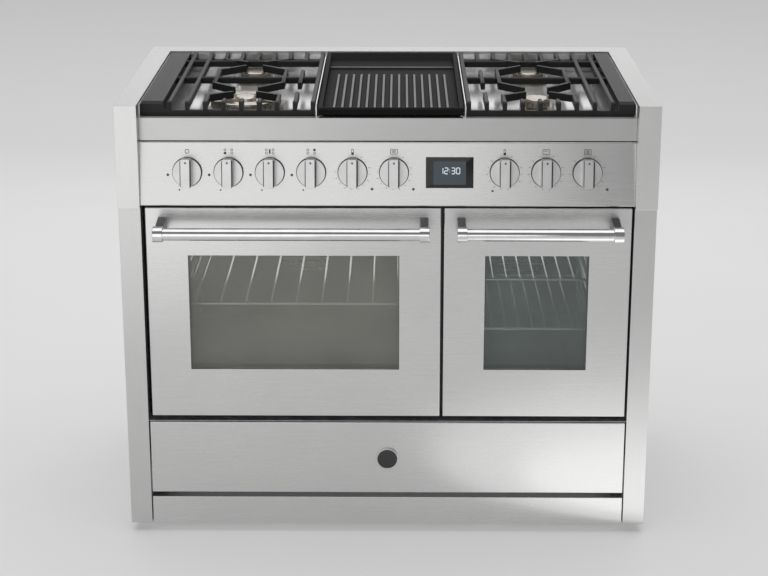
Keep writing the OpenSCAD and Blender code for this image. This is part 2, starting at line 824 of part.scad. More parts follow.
// Impeller with radial blades on its shaft
module fan(o) {
    blades = 12;
    disc_d = oven_back - 12;
    color(zinc_c) translate([(o[0] + o[1]) / 2, front_y + disc_d, oven_mid_z]) rotate([-90, 0, 0]) {
        cylinder(d = fan_d, h = 2);
        translate([0, 0, -12]) cylinder(d = 22, h = 14);
        for (i = [0:blades - 1]) rotate([0, 0, i * 360 / blades])
            translate([fan_d * 0.26, -0.75, -14]) cube([fan_d * 0.22, 1.5, 15]);
        cylinder(d = shaft_d, h = 12 + sheet_t + 36);
    }
}

module left_fan() {
    fan(left_oven);
}

module right_fan() {
    fan(right_oven);
}

module fan_motors() {
    motor_d = 66;
    motor_l = 44;
    wall_d = oven_back + sheet_t;
    color(zinc_c) for (o = ovens) difference() {
        union() {
            rod_y((o[0] + o[1]) / 2, wall_d, wall_d + 3, oven_mid_z, motor_flange_d);
            rod_y((o[0] + o[1]) / 2, wall_d, wall_d + motor_l, oven_mid_z, motor_d);
        }
        rod_y((o[0] + o[1]) / 2, wall_d - over, wall_d + motor_l - 6, oven_mid_z, shaft_d + 2 * fit_gap);
    }
}

module oven_lamps() {
    base_d = 44;
    base_h = 6;
    lens_d = 40;
    lens_top_d = 28;
    lens_h = 10;
    from_side = 60;
    from_roof = 45;
    color([0.95, 0.95, 0.9]) for (o = ovens)
        translate([o[1] - from_side, front_y + oven_back, oven_z1 - from_roof]) rotate([90, 0, 0]) {
            cylinder(d = base_d, h = base_h);
            translate([0, 0, base_h]) cylinder(d1 = lens_d, d2 = lens_top_d, h = lens_h);
        }
}

// Ladder of wires on both walls of an oven
module guides(o) {
    near = oven_front + 40;
    far = oven_back - 50;
    out = wire_d / 2 + touch;
    for (side = [0, 1]) {
        wall = o[side];
        s = 1 - 2 * side;
        for (d = [near + 20, far - 20])
            rod_z(wall + s * out, d, oven_z0 + guide_step * 0.6, oven_z0 + guide_step * (guide_n + 0.5), wire_d);
        for (level = [1:guide_n], up = [0, guide_step * 0.32])
            rod_y(wall + s * guide_x, near, far, oven_z0 + level * guide_step + up, wire_d);
    }
}

module rack_guides() {
    color(bright_c) for (o = ovens) guides(o);
}

// Wire rack resting on one guide level
module rack(o, level, pitch) {
    near = oven_front + 22;
    far = oven_back - 55;
    inset = 1.5;
    z = oven_z0 + level * guide_step + sqrt(pow(wire_d + touch, 2) - inset * inset);
    x0 = o[0] + guide_x + inset;
    x1 = o[1] - guide_x - inset;
    mid = (x0 + x1) / 2;
    n = floor((x1 - x0 - 20) / 2 / pitch);
    for (x = [x0, x1]) rod_y(x, near, far, z, wire_d);
    for (d = [near, far]) rod_x(x0, x1, d, z, wire_d);
    for (x = [x0, x1], d = [near, far]) translate([x, front_y + d, z]) sphere(d = wire_d);
    for (i = [-n:n]) rod_y(mid + i * pitch, near, far, z, wire_d * 0.8);
}

module oven_racks() {
    color(bright_c) {
        for (level = left_rack_levels) rack(left_oven, level, left_wire_pitch);
        for (level = right_rack_levels) rack(right_oven, level, right_wire_pitch);
    }
}

module drawer_runners() {
    inner_x = box_half + slide_t + touch;
    color(zinc_c) for (side = [-1, 1]) mirror([side < 0 ? 1 : 0, 0, 0]) {
        slab(inner_x, inner_x + runner_t, box_front + 6, box_front + box_d - 10, runner_z, runner_z + runner_h);
        for (d = [box_front + 60, box_front + box_d - 80])
            slab(inner_x + runner_t, skin_x, d, d + 30, runner_z + 6, runner_z + 16);
    }
}

module terminal_box() {
    color(black_c) difference() {
        union() {
            slab(gland_x - box_l[0] / 2, gland_x + box_l[0] / 2, back_sheet - box_l[1], back_sheet,
                 gland_z - box_l[2] / 2, gland_z + box_l[2] / 2);
            rod_y(gland_x, back_sheet - 6, body_d, gland_z, gland_d);
        }
        slab(gland_x - box_l[0] / 2 + 2, gland_x + box_l[0] / 2 - 2, back_sheet - box_l[1] + 2, back_sheet - 17,
             gland_z - box_l[2] / 2 + 2, gland_z + box_l[2] / 2 - 2);
        rod_y(gland_x, back_sheet - 20, body_d + over, gland_z, gland_bore);
    }
}

module panel_screws() {
    color(zinc_c) for (side = [-1, 1], z = screw_zs) {
        rod_y(side * screw_x, back_sheet + sheet_t, body_d, z, 2 * screw_d);
        rod_y(side * screw_x, back_sheet - 8, body_d - sheet_t / 2, z, screw_d);
    }
}

// Straight grate bar along the depth, rounded on top
module bar_y(x, d0, d1) {
    r = grate_bar / 2;
    slab(x - r, x + r, d0, d1, grate_z - grate_bar_h, grate_z - r);
    rod_y(x, d0, d1, grate_z - r, grate_bar);
}

// Prong end that bends down to the grate's rail
module prong_end(x, d, dir) {
    r = grate_bar / 2;
    bend = 6;
    edge = d - dir * bend;
    near = min(d, edge);
    far = max(d, edge);
    rod_x(x - r, x + r, d, grate_z - bend, 2 * bend);
    slab(x - r, x + r, near, far, grate_rail_z0, grate_z - bend);
}

// Tapered finger from a side bar towards the burner
module finger(x0, d0, x1, d1) {
    root = grate_bar / 2;
    tip = grate_bar * 0.38;
    len = sqrt(pow(x1 - x0, 2) + pow(d1 - d0, 2));
    nx = -(d1 - d0) / len;
    nd = (x1 - x0) / len;
    translate([0, front_y, grate_z - grate_bar_h]) linear_extrude(grate_bar_h - 0.5)
        polygon([[x0 + nx * root, d0 + nd * root], [x1 + nx * tip, d1 + nd * tip],
                 [x1 - nx * tip, d1 - nd * tip], [x0 - nx * root, d0 - nd * root]]);
    rod_z(x0, d0, grate_z - grate_bar_h, grate_z - 0.5, grate_bar);
    rod_z(x1, d1, grate_z - grate_bar_h, grate_z - 0.5, 2 * tip);
}

// Cast grate over two burners; s is +1 where its broad plate is on the right, -1 on the left
module grate(x, s) {
    near = grate_front + 8;
    far = grate_back - 8;
    mid_bar = (front_burner_d + rear_burner_d) / 2 - 6;
    rear_bar = rear_burner_d + 34;
    star = 2 * bar_pitch;
    side_out = half_bars * bar_pitch + grate_bar / 2;
    plate_in = s * x + side_out + plate_slot;
    plate_out = half_in - plate_gap;
    rail_x0 = x - s * side_out;
    rail_x1 = s * plate_out;
    low_x = min(rail_x0, rail_x1);
    high_x = max(rail_x0, rail_x1);
    plate_x0 = min(s * plate_in, s * plate_out);
    plate_x1 = max(s * plate_in, s * plate_out);
    color(iron_c) {
        for (k = [-half_bars, half_bars - 1, half_bars]) bar_y(x + s * k * bar_pitch, near, far);
        for (k = [-2, 2]) {
            bar_y(x + k * bar_pitch, near, front_burner_d - 46);
            bar_y(x + k * bar_pitch, front_burner_d + 72, rear_burner_d - 63);
            bar_y(x + k * bar_pitch, rear_burner_d + 51, far);
        }
        bar_y(x - s * 3 * bar_pitch, near, front_burner_d - 22);
        bar_y(x - s * 3 * bar_pitch, front_burner_d + 66, rear_burner_d - 66);
        bar_y(x - s * 3 * bar_pitch, rear_bar, far);
        for (k = [-1, 0, 1]) {
            bar_y(x + k * bar_pitch, near, near + 26);
            bar_y(x + k * bar_pitch, rear_bar, far);
        }
        for (k = [-half_bars:half_bars]) {
            prong_end(x + k * bar_pitch, near, 1);
            prong_end(x + k * bar_pitch, far, -1);
        }
        for (side = [-1, 1]) {
            finger(x + side * star, rear_burner_d + 51, x + side * 19, rear_burner_d + 20);
            finger(x + side * star, rear_burner_d - 63, x + side * 19, rear_burner_d - 20);
            finger(x + side * star, front_burner_d + 72, x + side * 24, front_burner_d + 25);
            finger(x + side * star, front_burner_d - 46, x + side * 24, front_burner_d - 17);
        }
        for (d = [mid_bar, rear_bar]) {
            slab(low_x, high_x, d - grate_bar / 2, d + grate_bar / 2, grate_z - grate_bar_h,
                 grate_z - grate_bar / 2 - 1);
            rod_x(low_x, high_x, d, grate_z - grate_bar / 2 - 1, grate_bar);
        }
        for (d = [grate_front, grate_back - grate_bar])
            slab(low_x, high_x, d, d + grate_bar, grate_rail_z0, grate_rail_z1);
        profile_x(plate_x0, plate_x1, [[grate_front, grate_rail_z0], [grate_front + 3, grate_z - 5],
            [grate_front + 8, grate_z], [grate_back, grate_z],
            [grate_back, grate_rail_z0], [grate_back - 6, grate_rail_z0],
            [grate_back - 6, grate_z - 6], [grate_front + 11, grate_z - 6], [grate_front + 6, grate_rail_z0]]);
        slab(s > 0 ? plate_x1 - 4 : plate_x0, s > 0 ? plate_x1 : plate_x0 + 4, grate_front + 6, grate_back,
             grate_rail_z0, grate_z - 3);
        for (fx = [low_x + 6, high_x - 6], d = [grate_front + 4, grate_back - 4])
            rod_z(fx, d, pan_z + touch, grate_rail_z0 + over, 8);
    }
}

module left_grate() {
    grate(left_burner_x, -1);
}

module right_grate() {
    grate(right_burner_x, 1);
}

module griddle() {
    back = grate_back;
    low_front = grate_z - 8;
    rib_back = griddle_front + rib_front + rib_l;
    well = rib_back + 70;
    color(iron_c) {
        difference() {
            profile_x(griddle_x0, griddle_x1, [[griddle_front, griddle_z0 + 2],
                [griddle_front, low_front - 3], [griddle_front + 3, low_front],
                [back, grate_z], [back, griddle_z0], [griddle_front + 2, griddle_z0]]);
            profile_x(griddle_x0 + griddle_wall, griddle_x1 - griddle_wall,
                [[griddle_front + 6, low_front + 2], [griddle_front + 12, griddle_floor], [well, griddle_floor],
                 [well + 8, griddle_floor + 5], [back - 26, griddle_floor + 7], [back - 5, grate_z + 2],
                 [back - 5, grate_z + 9], [griddle_front + 6, grate_z + 9]]);
        }
        for (i = [0:rib_n - 1]) {
            rx = griddle_x + (i - (rib_n - 1) / 2) * rib_pitch;
            translate([rx, front_y + rib_back - rib_l, griddle_floor]) rotate([90, 0, 180])
                linear_extrude(rib_l)
                    polygon([[-rib_w / 2, -over], [rib_w / 2, -over], [rib_w / 3, rib_h], [-rib_w / 3, rib_h]]);
        }
        for (fx = [griddle_x0 + 30, griddle_x1 - 30], d = [griddle_front + 40, back - 40])
            rod_z(fx, d, pan_z + touch, griddle_z0 + over, 12);
    }
}

// Cuts in a door for its two hinge arms
module hinge_slots(x0, x1) {
    room = arm_t / 2 + slot_gap;
    for (x = hinge_xs(x0, x1))
        slab(x - room, x + room, pivot_d - 10, door_back + over, door_z0 - over, pivot_z + 10);
}

// Outer steel skin of a door, folded back all round, with its window
module door_skin(x0, x1, win_w) {
    mid = (x0 + x1) / 2;
    fold = 26;
    win_z1 = door_z1 - win_drop;
    color(steel_c) difference() {
        slab(x0, x1, front_set, front_set + fold, door_z0, door_z1);
        slab(x0 + sheet_t, x1 - sheet_t, front_set + sheet_t, front_set + fold + over,
             door_z0 + sheet_t, door_z1 - sheet_t);
        slab(mid - win_w / 2, mid + win_w / 2, front_set - over, front_set + sheet_t + over,
             win_z1 - win_h, win_z1);
        hinge_slots(x0, x1);
    }
}

// Outer and inner panes of a door
module door_glass(x0, x1, win_w) {
    mid = (x0 + x1) / 2;
    lap = 16;
    win_z1 = door_z1 - win_drop;
    color(glass_c) {
        slab(mid - win_w / 2 - lap, mid + win_w / 2 + lap, front_set + sheet_t, front_set + sheet_t + glass_t,
             win_z1 - win_h - lap, win_z1 + lap);
        slab(mid - win_w / 2 - lap, mid + win_w / 2 + lap, door_back - 3 - glass_t, door_back - 3,
             win_z1 - win_h - lap, win_z1 + lap);
    }
}

// Inner tray of a door, which holds the inner pane
module door_liner(x0, x1, win_w) {
    mid = (x0 + x1) / 2;
    lap = 16;
    fold = 26;
    win_z1 = door_z1 - win_drop;
    color(enamel_c) difference() {
        union() {
            slab(x0 + 2, x1 - 2, door_back - sheet_t, door_back, door_z0 + 2, door_z1 - 2);
            difference() {
                slab(x0 + 2, x1 - 2, front_set + fold, door_back, door_z0 + 2, door_z1 - 2);
                slab(x0 + 4, x1 - 4, front_set + fold - over, door_back, door_z0 + 4, door_z1 - 4);
            }
            difference() {
                slab(mid - win_w / 2 - lap - 3, mid + win_w / 2 + lap + 3, front_set + sheet_t + glass_t,
                     door_back, win_z1 - win_h - lap - 3, win_z1 + lap + 3);
                slab(mid - win_w / 2, mid + win_w / 2, front_set, door_back + over, win_z1 - win_h, win_z1);
                slab(mid - win_w / 2 - lap, mid + win_w / 2 + lap, front_set + sheet_t + glass_t + 4,
                     door_back - 3 - glass_t - 2, win_z1 - win_h - lap, win_z1 + lap);
            }
        }
        slab(mid - win_w / 2, mid + win_w / 2, front_set, door_back + over, win_z1 - win_h, win_z1);
        slab(mid - win_w / 2 - lap, mid + win_w / 2 + lap, door_back - 3 - glass_t, door_back - 3,
             win_z1 - win_h - lap, win_z1 + lap);
        hinge_slots(x0, x1);
    }
}

// Bar, end caps and brackets of one handle
module door_handle(x0, x1) {
    h0 = x0 + handle_inset;
    h1 = x1 - handle_inset;
    z = door_z1 - bar_drop;
    color(bright_c) {
        rod_x(h0 + cap_l, h1 - cap_l, -bar_out, z, bar_d);
        for (x = [h0, h1 - cap_l]) rod_x(x, x + cap_l, -bar_out, z, cap_d);
        for (x = [h0 + (cap_l - bracket_w) / 2, h1 - (cap_l + bracket_w) / 2])
            slab(x, x + bracket_w, -bar_out, front_set, z - bracket_h / 2, z + bracket_h / 2);
    }
}

// Cheeks and pins of one door, either side of the fixed arms
module door_hinges(x0, x1) {
    room = arm_t / 2 + slot_gap;
    base = front_set + sheet_t;
    color(zinc_c) for (x = hinge_xs(x0, x1)) {
        for (side = [-1, 1])
            slab(x + side * (room + cheek_t / 2) - cheek_t / 2, x + side * (room + cheek_t / 2) + cheek_t / 2,
                 base, door_back - sheet_t, door_z0 + 4, pivot_z + cheek_size);
        rod_x(x - room - cheek_t, x + room + cheek_t, pivot_d, pivot_z, pin_d);
    }
}

module left_door_skin() {
    door_skin(left_x0, left_x1, left_win_w);
}

module left_door_glass() {
    door_glass(left_x0, left_x1, left_win_w);
}

module left_door_liner() {
    door_liner(left_x0, left_x1, left_win_w);
}

module left_door_handle() {
    door_handle(left_x0, left_x1);
}

module left_door_hinges() {
    door_hinges(left_x0, left_x1);
}

module right_door_skin() {
    door_skin(right_x0, right_x1, right_win_w);
}

module right_door_glass() {
    door_glass(right_x0, right_x1, right_win_w);
}

module right_door_liner() {
    door_liner(right_x0, right_x1, right_win_w);
}

module right_door_handle() {
    door_handle(right_x0, right_x1);
}

module right_door_hinges() {
    door_hinges(right_x0, right_x1);
}

module drawer_front() {
    color(steel_c) difference() {
        slab(-front_half, front_half, front_set, box_front, drawer_z0, drawer_z1);
        slab(-front_half + sheet_t, front_half - sheet_t, front_set + sheet_t, box_front + over,
             drawer_z0 + sheet_t, drawer_z1 - sheet_t);
    }
}

module drawer_box() {
    color(zinc_c) {
        difference() {
            slab(-box_half, box_half, box_front, box_front + box_d, box_z0, box_z1);
            slab(-box_half + box_t, box_half - box_t, box_front + box_t, box_front + box_d - box_t,
                 box_z0 + box_t, box_z1 + over);
        }
        for (x = [-box_half - slide_t, box_half])
            slab(x, x + slide_t, box_front + 6, box_front + box_d - 10, runner_z + 4, runner_z + 4 + slide_h);
        for (z = [drawer_z0 + sheet_t, box_z0])
            slab(-front_half + sheet_t, front_half - sheet_t, box_front - sheet_t, box_front, z, z + 30);
    }
}

module badge() {
    color(black_c) rod_y(0, front_set - badge_t, front_set, drawer_z0 + badge_up, badge_d);
}

left_side_panel();
right_side_panel();
top_frame();
back_panel();
base_frame();
plinth();
levelling_feet();
worktop();
control_panel();
display_glass();
display_module();
gas_manifold();
gas_taps();
oven_switches();
burner_bodies();
burner_caps();
griddle_burner();
igniters();
oven_front_frame();
heat_shield();
left_oven_cavity();
right_oven_cavity();
oven_insulation();
oven_seals();
heating_elements();
fan_covers();
fan_motors();
left_fan();
right_fan();
oven_lamps();
rack_guides();
oven_racks();
drawer_runners();
terminal_box();
panel_screws();
left_grate();
right_grate();
griddle();
left_door_skin();
left_door_glass();
left_door_liner();
left_door_handle();
left_door_hinges();
right_door_skin();
right_door_glass();
right_door_liner();
right_door_handle();
right_door_hinges();
drawer_front();
drawer_box();
badge();
for (i = [1:9]) knob(i);
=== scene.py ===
import logging
import math
from contextlib import contextmanager
from dataclasses import dataclass, field
from enum import Enum
from typing import Callable, Dict, Iterator, List, Optional, Sequence, Tuple, Union

import bmesh
import bpy
from mathutils import Matrix, Vector


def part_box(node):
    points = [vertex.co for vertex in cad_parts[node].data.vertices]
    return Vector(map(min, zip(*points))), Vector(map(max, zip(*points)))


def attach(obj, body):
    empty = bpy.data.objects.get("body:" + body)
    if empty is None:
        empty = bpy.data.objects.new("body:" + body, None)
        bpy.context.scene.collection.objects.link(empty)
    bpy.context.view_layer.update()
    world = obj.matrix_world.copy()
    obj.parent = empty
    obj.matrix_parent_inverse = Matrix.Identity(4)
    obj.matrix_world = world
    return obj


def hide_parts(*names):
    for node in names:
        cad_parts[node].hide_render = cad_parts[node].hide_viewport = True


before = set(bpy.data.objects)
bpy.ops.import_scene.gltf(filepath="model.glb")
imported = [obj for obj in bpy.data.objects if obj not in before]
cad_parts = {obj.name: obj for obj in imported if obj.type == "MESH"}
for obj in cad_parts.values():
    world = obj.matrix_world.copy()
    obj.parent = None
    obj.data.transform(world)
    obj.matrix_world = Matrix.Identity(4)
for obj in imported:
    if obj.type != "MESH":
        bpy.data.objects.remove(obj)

LOG = logging.getLogger("cooker")
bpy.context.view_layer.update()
MM = 0.001
# Height of the knobs' axes above the control panel's lower edge
KNOB_UP = 62.5 * MM
# How far the control panel's upper edge stands behind its lower edge
PANEL_SETBACK = 17 * MM
# Height above the floor from which the griddle's rib tops are polished by use and carry a painted highlight
RIB_CREST = 832.2 * MM
# Where most of a noise's values lie, and the steeper middle of them
SPREAD = (0.3, 0.7)
CORE = (0.35, 0.65)
# How much of a normal lies along an axis when its face looks that way
FACING = 0.9
# Two places nearer than this are one
TOUCH = 1e-6
KNOB_NAMES = tuple(f"knob_{index}" for index in range(1, 10))
Colour = Tuple[float, float, float]
Point = Tuple[float, float, float]
Pair = Tuple[float, float]
Piece = bpy.types.Object
Socket = bpy.types.NodeSocket
Number = Union["Value", float]


# ---------------------------------------------------------------- shader maths


class Value:
    """A number that flows through a material; arithmetic on it adds Math nodes."""

    def __init__(self, tree: "Tree", socket: Socket) -> None:
        """Wraps an output socket of a material's tree."""
        self.tree = tree
        self.socket = socket

    def _math(self, operation: str, other: Number, flip: bool = False) -> "Value":
        """Adds one Math node.

        Args:
            operation: The node's operation.
            other: The other operand.
            flip: Whether this value comes after it.

        Returns:
            The node's output.
        """
        items = (other, self) if flip else (self, other)
        node = self.tree.node("ShaderNodeMath", {"operation": operation}, dict(enumerate(items)))
        return Value(self.tree, node.outputs[0])

    def __add__(self, other: Number) -> "Value":
        """Returns self + other."""
        return self._math("ADD", other)

    def __sub__(self, other: Number) -> "Value":
        """Returns self - other."""
        return self._math("SUBTRACT", other)

    def __rsub__(self, other: float) -> "Value":
        """Returns other - self."""
        return self._math("SUBTRACT", other, flip=True)

    def __mul__(self, other: Number) -> "Value":
        """Returns self * other."""
        return self._math("MULTIPLY", other)

    def __truediv__(self, other: Number) -> "Value":
        """Returns self / other."""
        return self._math("DIVIDE", other)

    def __rtruediv__(self, other: float) -> "Value":
        """Returns other / self."""
        return self._math("DIVIDE", other, flip=True)

    def __gt__(self, other: Number) -> "Value":
        """Returns 1 where self is above other, and 0 elsewhere."""
        return self._math("GREATER_THAN", other)

    __radd__ = __add__
    __rmul__ = __mul__

    def ramp(self, low: float, high: float, first: float = 0.0, last: float = 1.0) -> "Value":
        """Maps a range of this value to another range, held at its ends.

        Args:
            low: The value that becomes first.
            high: The value that becomes last.
            first: The result at and below low.
            last: The result at and above high.

        Returns:
            The mapped value.
        """
        span = {"Value": self, "From Min": low, "From Max": high, "To Min": first, "To Max": last}
        node = self.tree.node("ShaderNodeMapRange", {"clamp": True}, span)
        return Value(self.tree, node.outputs["Result"])

    def around(self, middle: float, below: float, above: Optional[float] = None) -> "Value":
        """Returns a number that wanders with this noise, down by below and up by above, or by below too."""
        return self.ramp(*SPREAD, middle - below, middle + (below if above is None else above))


Input = Union[float, Sequence[float], Value, Socket]


def opaque(colour: Input) -> Input:
    """Returns a plain colour with its alpha, and anything else as it is."""
    return (*colour[:3], 1.0) if isinstance(colour, tuple) else colour


def shade(colour: Colour, factor: float) -> Colour:
    """Returns a colour made lighter or darker by a factor."""
    return tuple(min(1.0, channel * factor) for channel in colour)


class Grain(Enum):
    """The direction in which a sheet was brushed, as scratches per metre along X, Y and Z."""

    ACROSS = (9.0, 2600.0, 2600.0)
    DEEP = (2600.0, 9.0, 2600.0)
    UPRIGHT = (2600.0, 2600.0, 9.0)


class Tree:
    """The node tree of one material."""

    def __init__(self, name: str) -> None:
        """Starts a material with an empty tree.

        Args:
            name: The material's name.
        """
        self.material = bpy.data.materials.new(name)
        self.material.use_nodes = True
        self.nodes = self.material.node_tree.nodes
        self.links = self.material.node_tree.links
        self.nodes.clear()
        self.output = self.nodes.new("ShaderNodeOutputMaterial")

    def node(self, kind: str, settings: Optional[dict] = None,
             inputs: Optional[Dict[Union[str, int], Input]] = None) -> bpy.types.Node:
        """Adds one node.

        Args:
            kind: The node's type.
            settings: Properties of the node, set first.
            inputs: Values or links of its sockets.

        Returns:
            The new node.
        """
        node = self.nodes.new(kind)
        for key, value in (settings or {}).items():
            setattr(node, key, value)
        for key, value in (inputs or {}).items():
            value = value.socket if isinstance(value, Value) else value
            if isinstance(value, Socket):
                self.links.new(value, node.inputs[key])
            else:
                node.inputs[key].default_value = value
        return node

    def place(self, scale: Point = (1, 1, 1), turn: Point = (0, 0, 0)) -> Socket:
        """Object coordinates, in metres, turned and scaled.

        Args:
            scale: The pattern's repeats per metre along each axis.
            turn: Rotation in radians.

        Returns:
            The vector socket.
        """
        coords = self.node("ShaderNodeTexCoord").outputs["Object"]
        placed = {"Vector": coords, "Rotation": turn, "Scale": scale}
        return self.node("ShaderNodeMapping", None, placed).outputs[0]

    def split(self, vector: Socket) -> Tuple[Value, ...]:
        """Returns the three parts of a vector."""
        node = self.node("ShaderNodeSeparateXYZ", None, {0: vector})
        return tuple(Value(self, out) for out in node.outputs)

    def noise(self, vector: Socket, scale: float, detail: float = 3.0, rough: float = 0.5) -> Value:
        """Adds a noise from 0 to 1.

        Args:
            vector: Where it is read.
            scale: Its repeats along the vector.
            detail: How many finer layers it has.
            rough: Strength of each finer layer.

        Returns:
            The noise.
        """
        node = self.node("ShaderNodeTexNoise", None,
                         {"Vector": vector, "Scale": scale, "Detail": detail, "Roughness": rough})
        return Value(self, node.outputs[0])

    def scratches(self, grain: Grain) -> Value:
        """Returns the fine scratches of a brushed sheet."""
        return self.noise(self.place(grain.value), scale=1.0, detail=2.0, rough=0.6)

    def cells(self, vector: Socket, scale: float) -> Tuple[Value, Value]:
        """Adds a Voronoi pattern.

        Args:
            vector: Where it is read.
            scale: Its repeats along the vector.

        Returns:
            The distance to a cell's point, and a random value for each cell.
        """
        node = self.node("ShaderNodeTexVoronoi", None, {"Vector": vector, "Scale": scale})
        tone = self.node("ShaderNodeSeparateColor", None, {0: node.outputs["Color"]}).outputs[0]
        return Value(self, node.outputs["Distance"]), Value(self, tone)

    def blend(self, share: Input, first: Input, second: Input) -> Socket:
        """Returns a colour between two colours."""
        colours = {0: share, 6: opaque(first), 7: opaque(second)}
        return self.node("ShaderNodeMix", {"data_type": "RGBA"}, colours).outputs[2]

    def tinted(self, share: Input, colour: Colour, darker: float, lighter: float) -> Socket:
        """Returns a colour that varies from a darker to a lighter shade of itself."""
        return self.blend(share, shade(colour, darker), shade(colour, lighter))

    def bump(self, height: Value, depth: float, strength: float) -> Socket:
        """Returns a normal raised by a height, of a depth in metres."""
        raised = {"Height": height, "Distance": depth, "Strength": strength}
        return self.node("ShaderNodeBump", None, raised).outputs[0]

    def surface(self, **sockets: Input) -> bpy.types.Material:
        """Closes the tree with one Principled shader.

        Args:
            sockets: The shader's sockets, with underscores for spaces.

        Returns:
            The finished material.
        """
        inputs = {key.replace("_", " "): opaque(value) for key, value in sockets.items()}
        shader = self.node("ShaderNodeBsdfPrincipled", None, inputs)
        self.links.new(shader.outputs[0], self.output.inputs["Surface"])
        return self.material


# ---------------------------------------------------------------- finishes


@dataclass(frozen=True)
class Finish:
    """One finish of the cooker.

    Args:
        name: The material's name.
    """

    name: str

    def build(self) -> bpy.types.Material:
        """Returns the finished material."""
        return self.mix(Tree(self.name))

    def mix(self, tree: Tree) -> bpy.types.Material:
        """Returns the material, mixed on an empty tree."""
        raise NotImplementedError(self.name)


@dataclass(frozen=True)
class Brushed(Finish):
    """Brushed stainless sheet: long fine scratches along the grain and faint cloudy polish.

    Args:
        grain: The brushing direction.
        colour: The metal's colour.
        rough: Mean roughness.
        metallic: Share of metal in the look.
    """

    grain: Grain = Grain.ACROSS
    colour: Colour = (0.60, 0.60, 0.595)
    rough: float = 0.26
    metallic: float = 0.86

    def mix(self, tree: Tree) -> bpy.types.Material:
        """Returns the material, mixed on an empty tree.

        Args:
            tree: The material's empty tree.

        Returns:
            The material.
        """
        scratches = tree.scratches(self.grain)
        clouds = tree.noise(tree.place(), scale=5.0, rough=0.55)
        tone = scratches.ramp(*SPREAD) * 0.65 + clouds.ramp(*CORE) * 0.35
        rough = scratches.ramp(0.25, 0.75, self.rough - 0.03, self.rough + 0.03) + clouds.around(0.0, 0.02)
        return tree.surface(Base_Color=tree.tinted(tone, self.colour, 0.95, 1.04), Metallic=self.metallic,
                            Roughness=rough, Normal=tree.bump(scratches, depth=0.006 * MM, strength=0.08))


@dataclass(frozen=True)
class PolishedHobPaintedLight(Finish):
    """The hob's steel: a wiped, cloudy polish in the pan and a brushed front edge, with the pan painted
    lighter and the front edge darker as painted light and shade.

    Args:
        edge: Depth (Y) of the middle of the change from the front edge to the pan.
        fade: Half the width of that change.
        front: The front edge's colour, painted darker.
        pan: The pan's colour, painted lighter.
        metallic: Share of metal in the look of the front edge and the pan.
        rough: Roughness of the front edge and the pan.
    """

    edge: float = -231.5 * MM
    fade: float = 3 * MM
    front: Colour = (0.515, 0.515, 0.51)
    pan: Colour = (0.87, 0.87, 0.865)
    metallic: Pair = (0.86, 0.6)
    rough: Pair = (0.3, 0.16)

    def mix(self, tree: Tree) -> bpy.types.Material:
        """Returns the material, mixed on an empty tree.

        Args:
            tree: The material's empty tree.

        Returns:
            The material.
        """
        scratches = tree.scratches(Grain.ACROSS)
        clouds = tree.noise(tree.place(), scale=14.0, rough=0.6)
        inside = tree.split(tree.place())[1].ramp(self.edge - self.fade, self.edge + self.fade)
        # Painted light and shade: the pan lighter and the front edge darker than the same steel
        front = tree.tinted(scratches.ramp(*SPREAD), self.front, 0.95, 1.04)
        pan = tree.tinted(clouds.ramp(*CORE), self.pan, 0.95, 1.0)
        rough = inside.ramp(0.0, 1.0, *self.rough) + clouds.around(0.0, 0.02)
        return tree.surface(Base_Color=tree.blend(inside, front, pan), Roughness=rough,
                            Metallic=inside.ramp(0.0, 1.0, *self.metallic),
                            Normal=tree.bump(scratches, depth=0.006 * MM, strength=0.4))


@dataclass(frozen=True)
class Turned(Finish):
    """Satin or polished metal with fine marks of turning and a soft bright polish.

    Args:
        colour: The metal's colour.
        rough: Mean roughness.
        metallic: Share of metal in the look.
    """

    colour: Colour
    rough: float
    metallic: float

    def mix(self, tree: Tree) -> bpy.types.Material:
        """Returns the material, mixed on an empty tree.

        Args:
            tree: The material's empty tree.

        Returns:
            The material.
        """
        spots = tree.place()
        fine = tree.noise(spots, scale=900.0, detail=2.0)
        cloud = tree.noise(spots, scale=45.0, detail=2.0)
        return tree.surface(Base_Color=tree.tinted(cloud.ramp(*CORE), self.colour, 0.96, 1.03),
                            Metallic=self.metallic, Roughness=fine.around(self.rough, 0.04),
                            Normal=tree.bump(fine, depth=0.004 * MM, strength=0.4))


